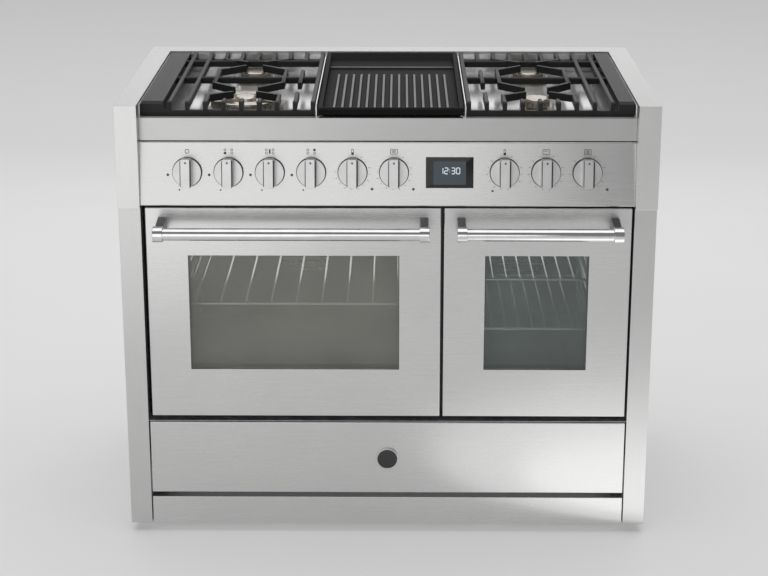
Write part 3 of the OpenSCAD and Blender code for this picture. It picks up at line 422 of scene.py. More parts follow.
@dataclass(frozen=True)
class Casting(Finish):
    """Matt enamelled cast iron with a sandy skin, painted lighter on its level tops and darker on its upright
    sides as painted light and shade.

    Args:
        colour: The iron's colour.
        rough: Mean roughness.
        gloss: Strength of the shine.
        crest: Height above the floor from which level tops are polished by use and carry a painted highlight,
            if they are.
        bright: Colour of the painted highlight on those tops.
    """

    colour: Colour
    rough: float
    gloss: float
    crest: Optional[float] = None
    bright: Colour = (0.30, 0.30, 0.305)

    def mix(self, tree: Tree) -> bpy.types.Material:
        """Returns the material, mixed on an empty tree.

        Args:
            tree: The material's empty tree.

        Returns:
            The material.
        """
        spots = tree.place()
        sand = tree.noise(spots, scale=700.0, rough=0.6)
        patch = tree.noise(spots, scale=28.0, rough=0.6)
        level = tree.split(tree.node("ShaderNodeTexCoord").outputs["Normal"])[2]
        # Painted light and shade: level tops lighter, upright sides near black, broken up by patches
        painted_top_light = level.ramp(0.25, 0.8, 0.45, 1.0) * patch.ramp(0.35, 0.7, 0.85, 1.25)
        base = tree.blend(painted_top_light, (0.002, 0.002, 0.002), shade(self.colour, 1.1))
        rough = sand.around(self.rough, 0.07, 0.1)
        if self.crest is not None:
            # Rib tops polished by use: lower roughness, and a painted highlight in their colour
            end = self.crest + 1.7 * MM
            up = tree.split(tree.place())[2]
            polish_and_highlight = up.ramp(self.crest, self.crest + 1.2 * MM) * up.ramp(end, end + 0.6 * MM, 1.0, 0.0)
            polish_and_highlight = polish_and_highlight * level.ramp(0.5, 0.8)
            base = tree.blend(polish_and_highlight * patch.ramp(*SPREAD, 0.8, 1.0), base, self.bright)
            rough = rough - polish_and_highlight * 0.12
        return tree.surface(Base_Color=base, Metallic=0.0, Roughness=rough, Specular_IOR_Level=self.gloss,
                            Normal=tree.bump(sand * 0.7 + patch * 0.3, depth=0.2 * MM, strength=0.55))


@dataclass(frozen=True)
class Enamel(Finish):
    """Glossy vitreous enamel with fine pale specks and a slight orange peel.

    Args:
        colour: The ground colour.
        fleck: The specks' colour.
        rough: Roughness of the glaze.
        share: How much of the surface the specks cover.
    """

    colour: Colour = (0.055, 0.057, 0.064)
    fleck: Colour = (0.28, 0.29, 0.31)
    rough: float = 0.22
    share: float = 0.16

    def mix(self, tree: Tree) -> bpy.types.Material:
        """Returns the material, mixed on an empty tree.

        Args:
            tree: The material's empty tree.

        Returns:
            The material.
        """
        spots = tree.place()
        near, tone = tree.cells(spots, scale=620.0)
        speck = near.ramp(0.22, 0.34, 1.0, 0.0) * (tone > 1.0 - self.share)
        wave = tree.noise(spots, scale=60.0, detail=2.0)
        base = tree.blend(speck, tree.tinted(wave, self.colour, 0.88, 1.1), self.fleck)
        return tree.surface(Base_Color=base, Roughness=wave.around(self.rough, 0.04, 0.05), Coat_Weight=0.35,
                            Coat_Roughness=0.08, Normal=tree.bump(wave, depth=0.3 * MM, strength=0.25))


@dataclass(frozen=True)
class Galvanised(Finish):
    """Zinc-coated sheet with its frosty spangle.

    Args:
        colour: The zinc's colour.
        spangle: Crystals per metre.
        rough: Mean roughness.
    """

    colour: Colour = (0.46, 0.475, 0.485)
    spangle: float = 75.0
    rough: float = 0.42

    def mix(self, tree: Tree) -> bpy.types.Material:
        """Returns the material, mixed on an empty tree.

        Args:
            tree: The material's empty tree.

        Returns:
            The material.
        """
        spots = tree.place()
        waves = {"Vector": spots, "Scale": 55.0, "Detail": 2.0}
        warp = tree.node("ShaderNodeTexNoise", None, waves).outputs[1]
        bent = tree.node("ShaderNodeMix", {"data_type": "VECTOR"}, {0: 0.03, 4: spots, 5: warp}).outputs[1]
        _, tone = tree.cells(bent, self.spangle)
        fine = tree.noise(spots, scale=480.0, detail=2.0)
        rough = tone.ramp(0.0, 1.0, self.rough - 0.07, self.rough + 0.08) + fine.around(0.0, 0.03)
        return tree.surface(Base_Color=tree.tinted(tone, self.colour, 0.82, 1.16), Metallic=0.8,
                            Roughness=rough, Normal=tree.bump(fine, depth=0.02 * MM, strength=0.3))


@dataclass(frozen=True)
class Moulded(Finish):
    """Plastic, rubber, ceramic or paint with a fine texture.

    Args:
        colour: The body colour.
        rough: Mean roughness.
        texture: Grains of texture per metre.
        depth: Depth of the texture.
        coat: Weight of a clear glaze.
    """

    colour: Colour
    rough: float
    texture: float = 900.0
    depth: float = 0.03 * MM
    coat: float = 0.0

    def mix(self, tree: Tree) -> bpy.types.Material:
        """Returns the material, mixed on an empty tree.

        Args:
            tree: The material's empty tree.

        Returns:
            The material.
        """
        spots = tree.place()
        fine = tree.noise(spots, self.texture, detail=2.0)
        cloud = tree.noise(spots, scale=20.0, detail=2.0)
        return tree.surface(Base_Color=tree.tinted(cloud, self.colour, 0.88, 1.12), Coat_Weight=self.coat,
                            Roughness=fine.around(self.rough, 0.06),
                            Normal=tree.bump(fine, self.depth, strength=0.5))


@dataclass(frozen=True)
class Heated(Finish):
    """Metal that has been hot: straw and blue-grey patches on a dull ground.

    Args:
        colour: The cold colour.
        tint: The heated colour.
        rough: Mean roughness.
        metallic: Share of metal in the look.
    """

    colour: Colour
    tint: Colour
    rough: float
    metallic: float = 0.85

    def mix(self, tree: Tree) -> bpy.types.Material:
        """Returns the material, mixed on an empty tree.

        Args:
            tree: The material's empty tree.

        Returns:
            The material.
        """
        spots = tree.place()
        patch = tree.noise(spots, scale=55.0, rough=0.6)
        fine = tree.noise(spots, scale=1100.0, detail=2.0)
        base = tree.blend(patch.ramp(0.38, 0.66), self.colour, self.tint)
        return tree.surface(Base_Color=base, Metallic=self.metallic,
                            Roughness=fine.around(self.rough, 0.06, 0.08),
                            Normal=tree.bump(fine, depth=0.01 * MM, strength=0.4))


@dataclass(frozen=True)
class Pane(Finish):
    """Oven glass: see-through, with a tinted veil of painted reflection and a clear gloss.

    Args:
        colour: The veil's colour.
        cover: How much of what is behind the veil hides.
        rough: Roughness of the glass.
    """

    colour: Colour
    cover: float = 0.16
    rough: float = 0.05

    def mix(self, tree: Tree) -> bpy.types.Material:
        """Returns the material, mixed on an empty tree.

        Args:
            tree: The material's empty tree.

        Returns:
            The material.
        """
        haze = tree.noise(tree.place(), scale=9.0)
        return tree.surface(Base_Color=tree.tinted(haze, self.colour, 0.97, 1.03),
                            Roughness=haze.around(self.rough, 0.0, 0.03), Alpha=haze.around(self.cover, 0.02),
                            IOR=1.52, Specular_IOR_Level=0.9)


@dataclass(frozen=True)
class Wool(Finish):
    """Mineral wool: a felt of fine fibres.

    Args:
        colour: The fibres' colour.
    """

    colour: Colour = (0.62, 0.56, 0.34)

    def mix(self, tree: Tree) -> bpy.types.Material:
        """Returns the material, mixed on an empty tree.

        Args:
            tree: The material's empty tree.

        Returns:
            The material.
        """
        fibres = tree.noise(tree.place((1, 6, 1.5), turn=(0.4, 0.2, 0.7)), scale=160.0, detail=5.0, rough=0.7)
        tufts = tree.noise(tree.place(), scale=26.0)
        base = tree.tinted(fibres * 0.6 + tufts * 0.4, self.colour, 0.6, 1.25)
        return tree.surface(Base_Color=base, Roughness=0.95,
                            Normal=tree.bump(fibres + tufts, depth=1.5 * MM, strength=0.8))


@dataclass(frozen=True)
class Braid(Finish):
    """Woven heat-proof seal: a diagonal braid round its rim.

    Args:
        colour: The thread's colour.
    """

    colour: Colour = (0.045, 0.045, 0.047)

    def mix(self, tree: Tree) -> bpy.types.Material:
        """Returns the material, mixed on an empty tree.

        Args:
            tree: The material's empty tree.

        Returns:
            The material.
        """
        waves = []
        for lean in (0.8, -0.8):
            node = tree.node("ShaderNodeTexWave", {"wave_type": "BANDS", "bands_direction": "X"},
                             {"Vector": tree.place(turn=(0.0, lean, 0.0)), "Scale": 95.0})
            waves.append(Value(tree, node.outputs[1]))
        weave = waves[0] * 0.5 + waves[1] * 0.5
        return tree.surface(Base_Color=tree.tinted(weave, self.colour, 0.6, 1.8), Roughness=0.85,
                            Normal=tree.bump(weave, depth=0.6 * MM, strength=0.8))


@dataclass(frozen=True)
class Lit(Finish):
    """A shape that glows softly on a display.

    Args:
        colour: The light's colour.
        dark: Colour of the unlit pane.
    """

    colour: Colour
    dark: Colour = (0.02, 0.02, 0.022)

    def mix(self, tree: Tree) -> bpy.types.Material:
        """Returns the material, mixed on an empty tree.

        Args:
            tree: The material's empty tree.

        Returns:
            The material.
        """
        rows = tree.noise(tree.place((1, 1, 4)), scale=260.0, detail=1.0)
        lit = tree.tinted(rows.ramp(*SPREAD), self.colour, 0.9, 1.05)
        return tree.surface(Base_Color=self.dark, Roughness=0.35, Specular_IOR_Level=0.2,
                            Emission_Strength=1.0, Emission_Color=lit)


class Finishes:
    """Every finish of the cooker, built once."""

    SHEET = Brushed("brushed_across", Grain.ACROSS, (0.63, 0.63, 0.625))
    PANEL = Brushed("brushed_panel", Grain.ACROSS)
    POST = Brushed("brushed_upright", Grain.UPRIGHT, rough=0.33)
    RAIL = Brushed("brushed_rails", Grain.DEEP, (0.665, 0.665, 0.66), rough=0.34)
    HOB = PolishedHobPaintedLight("polished_hob")
    MIRROR = Turned("polished_bar", (0.72, 0.72, 0.72), rough=0.11, metallic=1.0)
    SATIN = Turned("satin_knob", (0.60, 0.60, 0.595), rough=0.31, metallic=0.88)
    WIRE = Turned("bright_wire", (0.72, 0.72, 0.71), rough=0.2, metallic=0.95)
    # Painted shade: the brackets' steel painted dark for the dark reflection on their tops
    BRACKET_PAINTED_SHADE = Turned("dark_bracket", (0.13, 0.13, 0.133), rough=0.3, metallic=0.85)
    # Painted shade: a dark copy of the knobs' satin steel for the dials' rims, the rings behind them and the
    # edges of the grips' faces
    KNOB_SIDE = Turned("shaded_knob_side", (0.035, 0.035, 0.036), rough=0.5, metallic=0.1)
    IRON = Casting("cast_iron", (0.036, 0.036, 0.038), rough=0.44, gloss=0.25)
    GRIDDLE = Casting("cast_iron_griddle", (0.010, 0.010, 0.011), rough=0.6, gloss=0.1, crest=RIB_CREST)
    CAVITY = Enamel("speckled_enamel")
    BLACK = Enamel("black_stove_enamel", (0.012, 0.012, 0.013), (0.05, 0.05, 0.052), rough=0.3, share=0.05)
    ZINC = Galvanised("galvanised_sheet")
    CAST_ZINC = Galvanised("dull_casting", (0.40, 0.405, 0.41), spangle=300.0, rough=0.5)
    PLASTIC = Moulded("black_plastic", (0.03, 0.03, 0.031), rough=0.5)
    SMOKED = Moulded("display_glass", (0.012, 0.012, 0.013), rough=0.3, texture=60.0, depth=0.01 * MM)
    INK = Moulded("panel_ink", (0.06, 0.06, 0.06), rough=0.5, texture=1200.0, depth=0.005 * MM)
    DIMPLE = Moulded("index_dot", (0.07, 0.07, 0.07), rough=0.45)
    BADGE = Moulded("badge_face", (0.014, 0.014, 0.015), rough=0.25, texture=300.0, depth=0.01 * MM, coat=0.4)
    CERAMIC = Moulded("glazed_ceramic", (0.78, 0.77, 0.73), rough=0.22, texture=500.0, depth=0.02 * MM,
                      coat=0.6)
    LENS = Moulded("lamp_lens", (0.66, 0.67, 0.65), rough=0.15, texture=250.0, depth=0.1 * MM, coat=0.7)
    BRASS = Heated("dull_brass", (0.50, 0.38, 0.20), (0.36, 0.26, 0.15), rough=0.36)
    BURNER = Heated("burner_alloy", (0.46, 0.42, 0.36), (0.34, 0.27, 0.20), rough=0.34)
    CAP = Heated("burner_cap", (0.62, 0.59, 0.55), (0.50, 0.44, 0.37), rough=0.27, metallic=0.9)
    SHEATH = Heated("element_sheath", (0.16, 0.145, 0.135), (0.09, 0.075, 0.07), rough=0.5, metallic=0.6)
    # Painted reflection: the same glass, its veil painted paler on the left pane than on the right
    LEFT_PANE_PAINTED_REFLECTION = Pane("left_window_glass", (0.495, 0.50, 0.445))
    RIGHT_PANE_PAINTED_REFLECTION = Pane("right_window_glass", (0.27, 0.318, 0.307))
    WOOL = Wool("mineral_wool")
    SEAL = Braid("braided_seal")
    SCREEN = Lit("lit_screen", (0.045, 0.058, 0.068))
    DIGIT = Lit("lit_digits", (0.72, 0.82, 0.86))

    def __init__(self) -> None:
        """Starts with nothing built."""
        self._built: Dict[str, bpy.types.Material] = {}

    def get(self, finish: Finish) -> bpy.types.Material:
        """Returns a finish's material, built on its first use.

        Args:
            finish: The finish.

        Returns:
            Its material.
        """
        if finish.name not in self._built:
            self._built[finish.name] = finish.build()
        return self._built[finish.name]

    def dress(self, piece: Piece, *finishes: Finish) -> Piece:
        """Gives a piece its finishes, one for each material slot.

        Args:
            piece: The piece to dress.
            finishes: The finishes in the order of the slots, or one for all of them.

        Returns:
            The piece.
        """
        slots = piece.data.materials
        if len(finishes) == 1 and len(slots):
            for index in range(len(slots)):
                slots[index] = self.get(finishes[0])
        else:
            slots.clear()
            for finish in finishes:
                slots.append(self.get(finish))
        return piece


# ---------------------------------------------------------------- the workbench


class Bench:
    """Modelling by hand with Blender's own operators."""

    @staticmethod
    def only(piece: Optional[Piece] = None) -> None:
        """Deselects everything, then selects one piece and makes it active.

        Args:
            piece: The piece, or none.
        """
        if bpy.context.object and bpy.context.object.mode != "OBJECT":
            bpy.ops.object.mode_set(mode="OBJECT")
        bpy.ops.object.select_all(action="DESELECT")
        if piece is not None:
            piece.select_set(True)
            bpy.context.view_layer.objects.active = piece

    @staticmethod
    def _named(name: str) -> Piece:
        """Names the new primitive and puts its place into its mesh.

        Args:
            name: Its name.

        Returns:
            The new piece.
        """
        piece = bpy.context.object
        piece.name = piece.data.name = name
        Bench.only(piece)
        bpy.ops.object.transform_apply(location=True, rotation=True, scale=True)
        return piece

    @staticmethod
    def block(name: str, low: Point, high: Point) -> Piece:
        """Adds a block between two corners.

        Args:
            name: The piece's name.
            low: Its lowest corner.
            high: Its highest corner.

        Returns:
            The new piece.
        """
        Bench.only()
        low, high = Vector(low), Vector(high)
        bpy.ops.mesh.primitive_cube_add(size=1, location=(low + high) / 2, scale=high - low)
        return Bench._named(name)

    @staticmethod
    def rod(name: str, start: Point, end: Point, radius: float, sides: int) -> Piece:
        """Adds a rod between two points.

        Args:
            name: The piece's name.
            start: The middle of one end.
            end: The middle of the other end.
            radius: Its radius.
            sides: Faces round it.

        Returns:
            The new piece.
        """
        Bench.only()
        start, end = Vector(start), Vector(end)
        way = (end - start).to_track_quat("Z", "X").to_euler()
        bpy.ops.mesh.primitive_cylinder_add(vertices=sides, radius=radius, depth=(end - start).length,
                                            location=(start + end) / 2, rotation=way)
        return Bench._named(name)

    @staticmethod
    @contextmanager
    def editing(piece: Piece, mode: str = "FACE") -> Iterator[None]:
        """Opens a piece in edit mode with nothing selected, and closes it again.

        Args:
            piece: The piece to edit.
            mode: VERT, EDGE or FACE.

        Yields:
            Nothing.
        """
        Bench.only(piece)
        bpy.ops.object.mode_set(mode="EDIT")
        bpy.ops.mesh.select_mode(type=mode)
        bpy.ops.mesh.select_all(action="DESELECT")
        yield
        bpy.ops.object.mode_set(mode="OBJECT")

    @staticmethod
    @contextmanager
    def _picking(piece: Piece) -> Iterator[bmesh.types.BMesh]:
        """Gives out the mesh of a piece in edit mode with nothing selected, to select from.

        Args:
            piece: The piece in edit mode.

        Yields:
            Its mesh.
        """
        bpy.ops.mesh.select_all(action="DESELECT")
        yield bmesh.from_edit_mesh(piece.data)
        bmesh.update_edit_mesh(piece.data)

    @staticmethod
    def faces(piece: Piece, test: Callable[[Vector, Vector], bool]) -> None:
        """Selects the faces that pass a test.

        Args:
            piece: The piece in edit mode.
            test: Called with a face's middle and normal.
        """
        with Bench._picking(piece) as mesh:
            for face in mesh.faces:
                if test(face.calc_center_median(), face.normal):
                    face.select_set(True)

    @staticmethod
    def edges(piece: Piece, test: Callable[[Vector, Vector], bool]) -> None:
        """Selects the edges that pass a test.

        Args:
            piece: The piece in edit mode, with edges as its select mode.
            test: Called with an edge's two ends.
        """
        with Bench._picking(piece) as mesh:
            for edge in mesh.edges:
                if test(edge.verts[0].co, edge.verts[1].co):
                    edge.select_set(True)

    @staticmethod
    def is_post(start: Vector, end: Vector) -> bool:
        """Returns whether an edge stands upright."""
        return abs(start.x - end.x) < TOUCH and abs(start.y - end.y) < TOUCH

    @staticmethod
    def assign(piece: Piece, slot: int) -> None:
        """Gives the selected faces the finish in a slot."""
        piece.active_material_index = slot
        bpy.ops.object.material_slot_assign()

    @staticmethod
    def modify(piece: Piece, kind: str, apply: bool = True, **settings: object) -> None:
        """Adds a modifier, and applies it unless told not to.

        Args:
            piece: The piece.
            kind: The modifier's type.
            apply: Whether it is applied at once.
            settings: The modifier's properties.
        """
        modifier = piece.modifiers.new(kind.lower(), kind)
        for key, value in settings.items():
            setattr(modifier, key, value)
        if apply:
            Bench.only(piece)
            bpy.ops.object.modifier_apply(modifier=modifier.name)

    @staticmethod
    def cut(piece: Piece, cutter: Piece) -> None:
        """Cuts a closed solid out of a piece and deletes the solid."""
        Bench.modify(piece, "BOOLEAN", operation="DIFFERENCE", object=cutter, solver="EXACT")
        bpy.data.objects.remove(cutter)

    @staticmethod
    def round_off(piece: Piece, width: float, segments: int, angle: float, apply: bool = True) -> None:
        """Rounds the edges sharper than an angle in degrees."""
        Bench.modify(piece, "BEVEL", apply=apply, width=width, segments=segments, limit_method="ANGLE",
                     angle_limit=math.radians(angle), use_clamp_overlap=True)

    @staticmethod
    def soften(piece: Piece, width: float, segments: int = 3, angle: float = 35.0) -> None:
        """Rounds a piece's sharp edges and smooths its shading.

        Args:
            piece: The piece.
            width: Width of the rounding in metres.
            segments: Steps in the rounding.
            angle: Edges sharper than this many degrees are rounded.
        """
        Bench.round_off(piece, width, segments, angle)
        Bench.smooth(piece)
        Bench.modify(piece, "WEIGHTED_NORMAL", keep_sharp=True, weight=90)

    @staticmethod
    def smooth(piece: Piece, angle: float = 32.0) -> None:
        """Shades a piece smooth across edges flatter than an angle in degrees."""
        Bench.only(piece)
        bpy.ops.object.shade_smooth_by_angle(angle=math.radians(angle), keep_sharp_edges=True)

    @staticmethod
    def join(name: str, pieces: Sequence[Piece]) -> Piece:
        """Joins pieces into one, with a slot for each finish that they wear.

        Args:
            name: The joined piece's name.
            pieces: The pieces; the first takes in the others.

        Returns:
            The joined piece.
        """
        Bench.only(pieces[0])
        for piece in pieces:
            piece.select_set(True)
        bpy.ops.object.join()
        joined = bpy.context.object
        joined.name = joined.data.name = name
        return joined

    @staticmethod
    def copy(piece: Piece, name: str, move: Matrix) -> Piece:
        """Copies a piece with its own mesh, moved by a matrix.

        Args:
            piece: The piece to copy.
            name: The copy's name.
            move: Where the copy goes.

        Returns:
            The copy.
        """
        twin = piece.copy()
        twin.data = piece.data.copy()
        twin.name = twin.data.name = name
        twin.data.transform(move)
        bpy.context.scene.collection.objects.link(twin)
        return twin

    @staticmethod
    def settle(piece: Piece, matrix: Matrix) -> None:
        """Puts a piece that was made at the origin into its place, in its mesh."""
        piece.data.transform(matrix)
        piece.data.update()


def on_panel(origin: Vector, lean: float, x: float) -> Matrix:
    """Returns a frame on the control panel's face at x: X right, Y up the panel, Z out of it."""
    return Matrix.Translation((x, origin.y, origin.z)) @ Matrix.Rotation(math.radians(90) - lean, 4, "X")


def fit(piece: Piece, body: str, slot: str, *nodes: str) -> Piece:
    """Lets a piece ride a body and stand for CAD nodes.

    Args:
        piece: The finished piece.
        body: The body that carries it.
        slot: The record's material slot; not used.
        nodes: The nodes that it replaces.

    Returns:
        The piece.
    """
    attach(piece, body)
    if nodes:
        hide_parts(*nodes)
    LOG.info("%s rides %s", piece.name, body)
    return piece


# ---------------------------------------------------------------- sub-assemblies


@dataclass
class Carcass:
    """The CAD solids that show as they are, with folded edges and their finishes.

    Args:
        finishes: The cooker's finishes.
        weld: Distance below which a solid's points are one.
        sharp: Edges sharper than this many degrees are rounded.
    """

    finishes: Finishes
    weld: float = 0.01 * MM
    sharp: float = 40.0

    def looks(self) -> List[Tuple[Finish, float, str]]:
        """Lists the finishes and edges of all nodes.

        Returns:
            Each finish, the radius of its edges in millimetres, and the nodes that have both.
        """
        f = Finishes
        return [
            (f.POST, 0.6, "left_side_panel right_side_panel"),
            (f.RAIL, 0.6, "top_frame"),
            (f.SHEET, 0.6, "plinth"),
            (f.SHEET, 1.1, "drawer_front left_door_skin right_door_skin"),
            (f.PANEL, 0.6, "control_panel"),
            (f.HOB, 0.6, "worktop"),
            (f.ZINC, 0, "back_panel base_frame heat_shield drawer_box"),
            (f.ZINC, 0.5, "drawer_runners"),
            (f.CAST_ZINC, 0, "gas_manifold griddle_burner left_fan right_fan"),
            (f.CAST_ZINC, 0.5, "panel_screws left_door_hinges right_door_hinges"),
            (f.CAST_ZINC, 1.1, "fan_motors"),
            (f.PLASTIC, 0.8, "levelling_feet display_module oven_switches"),
            (f.PLASTIC, 1.1, "terminal_box"),
            (f.SMOKED, 0.4, "display_glass"),
            (f.BRASS, 0.8, "gas_taps"),
            (f.BURNER, 0.4, "burner_bodies"),
            (f.CAP, 0.5, "burner_caps"),
            (f.CERAMIC, 0.5, "igniters"),
            (f.IRON, 1.9, "left_grate right_grate"),
            (f.GRIDDLE, 1, "griddle"),
            (f.BLACK, 0, "oven_front_frame"),
            (f.CAVITY, 0, "left_oven_cavity right_oven_cavity"),
            (f.CAVITY, 0.5, "fan_covers left_door_liner right_door_liner"),
            (f.WOOL, 3, "oven_insulation"),
            (f.SEAL, 2, "oven_seals"),
            (f.SHEATH, 0, "heating_elements"),
            (f.LENS, 1.1, "oven_lamps"),
            (f.WIRE, 0, "rack_guides oven_racks"),
            (f.LEFT_PANE_PAINTED_REFLECTION, 0, "left_door_glass"),
            (f.RIGHT_PANE_PAINTED_REFLECTION, 0, "right_door_glass"),
            (f.MIRROR, 0, "left_door_handle right_door_handle"),
            (f.SATIN, 0, " ".join(KNOB_NAMES)),
            (f.BADGE, 0, "badge"),
        ]

    def build(self) -> None:
        """Dresses every node and rounds the folded edges with live modifiers."""
        for finish, radius, names in self.looks():
            for name in names.split():
                node = self.finishes.dress(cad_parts[name], finish)
                Bench.modify(node, "WELD", apply=False, merge_threshold=self.weld)
                if radius:
                    Bench.round_off(node, radius * MM, segments=2, angle=self.sharp, apply=False)
                LOG.info("%s dressed", name)


@dataclass
class Front:
    """A front of folded sheet steel, hollow behind, with or without a window.

    Args:
        node: The CAD node that it stands for.
        body: The body that carries it.
        finishes: The cooker's finishes.
        sheet: Thickness of the steel.
        fold: Radius of the folded edges.
        rim: Radius of the sheet's own edges.
        lap: How far the glass reaches behind the window's rim.
        cheek: Distance from a hinge's arm to the outside of its cheek.
        slot: Half the width of a hinge arm's slot.
        slot_deep: Where the slot begins and ends behind the front's face.
        slot_up: Where the slot begins and ends above the lower edge.
    """

    node: str
    body: str
    finishes: Finishes
    sheet: float = 1.5 * MM
    fold: float = 1.8 * MM
    rim: float = 0.5 * MM
    lap: float = 16 * MM
    cheek: float = 7 * MM
    slot: float = 4 * MM
    slot_deep: Pair = (10 * MM, 60 * MM)
    slot_up: Pair = (-1 * MM, 25 * MM)

    def build(self) -> Piece:
        """Folds the sheet, cuts what a door needs, and rounds the rims.

        Returns:
            The front, standing for its CAD node.
        """
        is_door = self.body.endswith("_door")
        low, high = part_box(self.node)
        front = Bench.block(f"{self.node}_sheet", low, high)
        with Bench.editing(front):
            Bench.faces(front, lambda c, n: n.y > FACING)
            bpy.ops.mesh.delete(type="FACE")
            bpy.ops.mesh.select_mode(type="EDGE")
            Bench.edges(front, lambda a, b: min(a.y, b.y) < low.y + TOUCH)
            bpy.ops.mesh.bevel(offset=self.fold, segments=4)
        if is_door:
            self._window(front)
        Bench.modify(front, "SOLIDIFY", thickness=self.sheet, offset=-1.0, use_even_offset=True)
        if is_door:
            self._slots(front, low)
        Bench.soften(front, self.rim, segments=2, angle=50)
        self.finishes.dress(front, Finishes.SHEET)
        return fit(front, self.body, "steel", self.node)

    def _window(self, front: Piece) -> None:
        """Cuts the window's opening inside the edges of the glass.

        Args:
            front: The folded sheet.
        """
        low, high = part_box(f"{self.body}_glass")
        left, right, bottom, top = low.x + self.lap, high.x - self.lap, low.z + self.lap, high.z - self.lap
        cuts = [((x, 0, 0), (1, 0, 0)) for x in (left, right)]
        cuts += [((0, 0, z), (0, 0, 1)) for z in (bottom, top)]
        with Bench.editing(front):
            for place, normal in cuts:
                bpy.ops.mesh.select_all(action="SELECT")
                bpy.ops.mesh.bisect(plane_co=place, plane_no=normal)
            bpy.ops.mesh.select_mode(type="FACE")
            Bench.faces(front, lambda c, n: n.y < -FACING and left < c.x < right and bottom < c.z < top)
            bpy.ops.mesh.delete(type="FACE")

    def _slots(self, front: Piece, low: Vector) -> None:
        """Cuts the slots of the hinge arms into the lower flange.

        Args:
            front: The folded sheet.
            low: Its lowest corner.
        """
        first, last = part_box(f"{self.body}_hinges")
        near, far = self.slot_deep
        bottom, top = self.slot_up
        for x in (first.x + self.cheek, last.x - self.cheek):
            cutter = Bench.block("cutter", (x - self.slot, low.y + near, low.z + bottom),
                                 (x + self.slot, low.y + far, low.z + top))
            Bench.cut(front, cutter)


@dataclass
class ControlPanel:
    """The leaning panel: a sheet folded back along both long edges, with its holes.

    Args:
        finishes: The cooker's finishes.
        lean: How far it leans back, in radians.
        setback: How far its upper edge stands behind its lower edge.
        sheet: Thickness of the steel.
        fold: Radius of the folded edges.
        rim: Radius of the sheet's own edges.
        hole: Radius of a spindle's hole.
        reach: How far a cutter reaches through the sheet.
        gap: Clearance round the display's glass.
    """

    finishes: Finishes
    lean: float
    setback: float
    sheet: float = 1.5 * MM
    fold: float = 2.2 * MM
    rim: float = 0.3 * MM
    hole: float = 5 * MM
    reach: float = 6 * MM
    gap: float = 0.15 * MM

    def build(self, places: Sequence[Vector]) -> Piece:
        """Folds the sheet and cuts its holes.

        Args:
            places: The points of the knobs' axes on the panel's face.

        Returns:
            The panel, standing for its CAD node.
        """
        low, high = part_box("control_panel")
        panel = Bench.block("control_panel_sheet", low, (high.x, high.y - self.setback, high.z))
        with Bench.editing(panel):
            Bench.faces(panel, lambda c, n: n.z > FACING)
            bpy.ops.transform.translate(value=(0, self.setback, 0))
            Bench.faces(panel, lambda c, n: n.y > FACING or abs(n.x) > FACING)
            bpy.ops.mesh.delete(type="FACE")
            bpy.ops.mesh.select_mode(type="EDGE")
            Bench.edges(panel, lambda a, b: self._folded(a, b, low.y))
            bpy.ops.mesh.bevel(offset=self.fold, segments=4)
        Bench.modify(panel, "SOLIDIFY", thickness=self.sheet, offset=-1.0, use_even_offset=True)
        out = Vector((0, -math.cos(self.lean), math.sin(self.lean))) * self.reach
        for place in places:
            Bench.cut(panel, Bench.rod("cutter", place - out, place + out, self.hole, sides=32))
        low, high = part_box("display_glass")
        room = Vector((self.gap, 5 * MM, self.gap))
        Bench.cut(panel, Bench.block("cutter", low - room, high + room))
        Bench.soften(panel, self.rim, segments=2, angle=50)
        self.finishes.dress(panel, Finishes.PANEL)
        return fit(panel, "cabinet", "steel", "control_panel")

    def _folded(self, a: Vector, b: Vector, face: float) -> bool:
        """Tells the two long front edges from all others.

        Args:
            a: One end of an edge.
            b: Its other end.
            face: Place of the lower edge along Y.

        Returns:
            Whether it is one of the two.
        """
        level = abs(a.y - b.y) < TOUCH
        along = abs(a.x - b.x) > TOUCH
        return level and along and (a.y < face + TOUCH or abs(a.y - face - self.setback) < TOUCH)


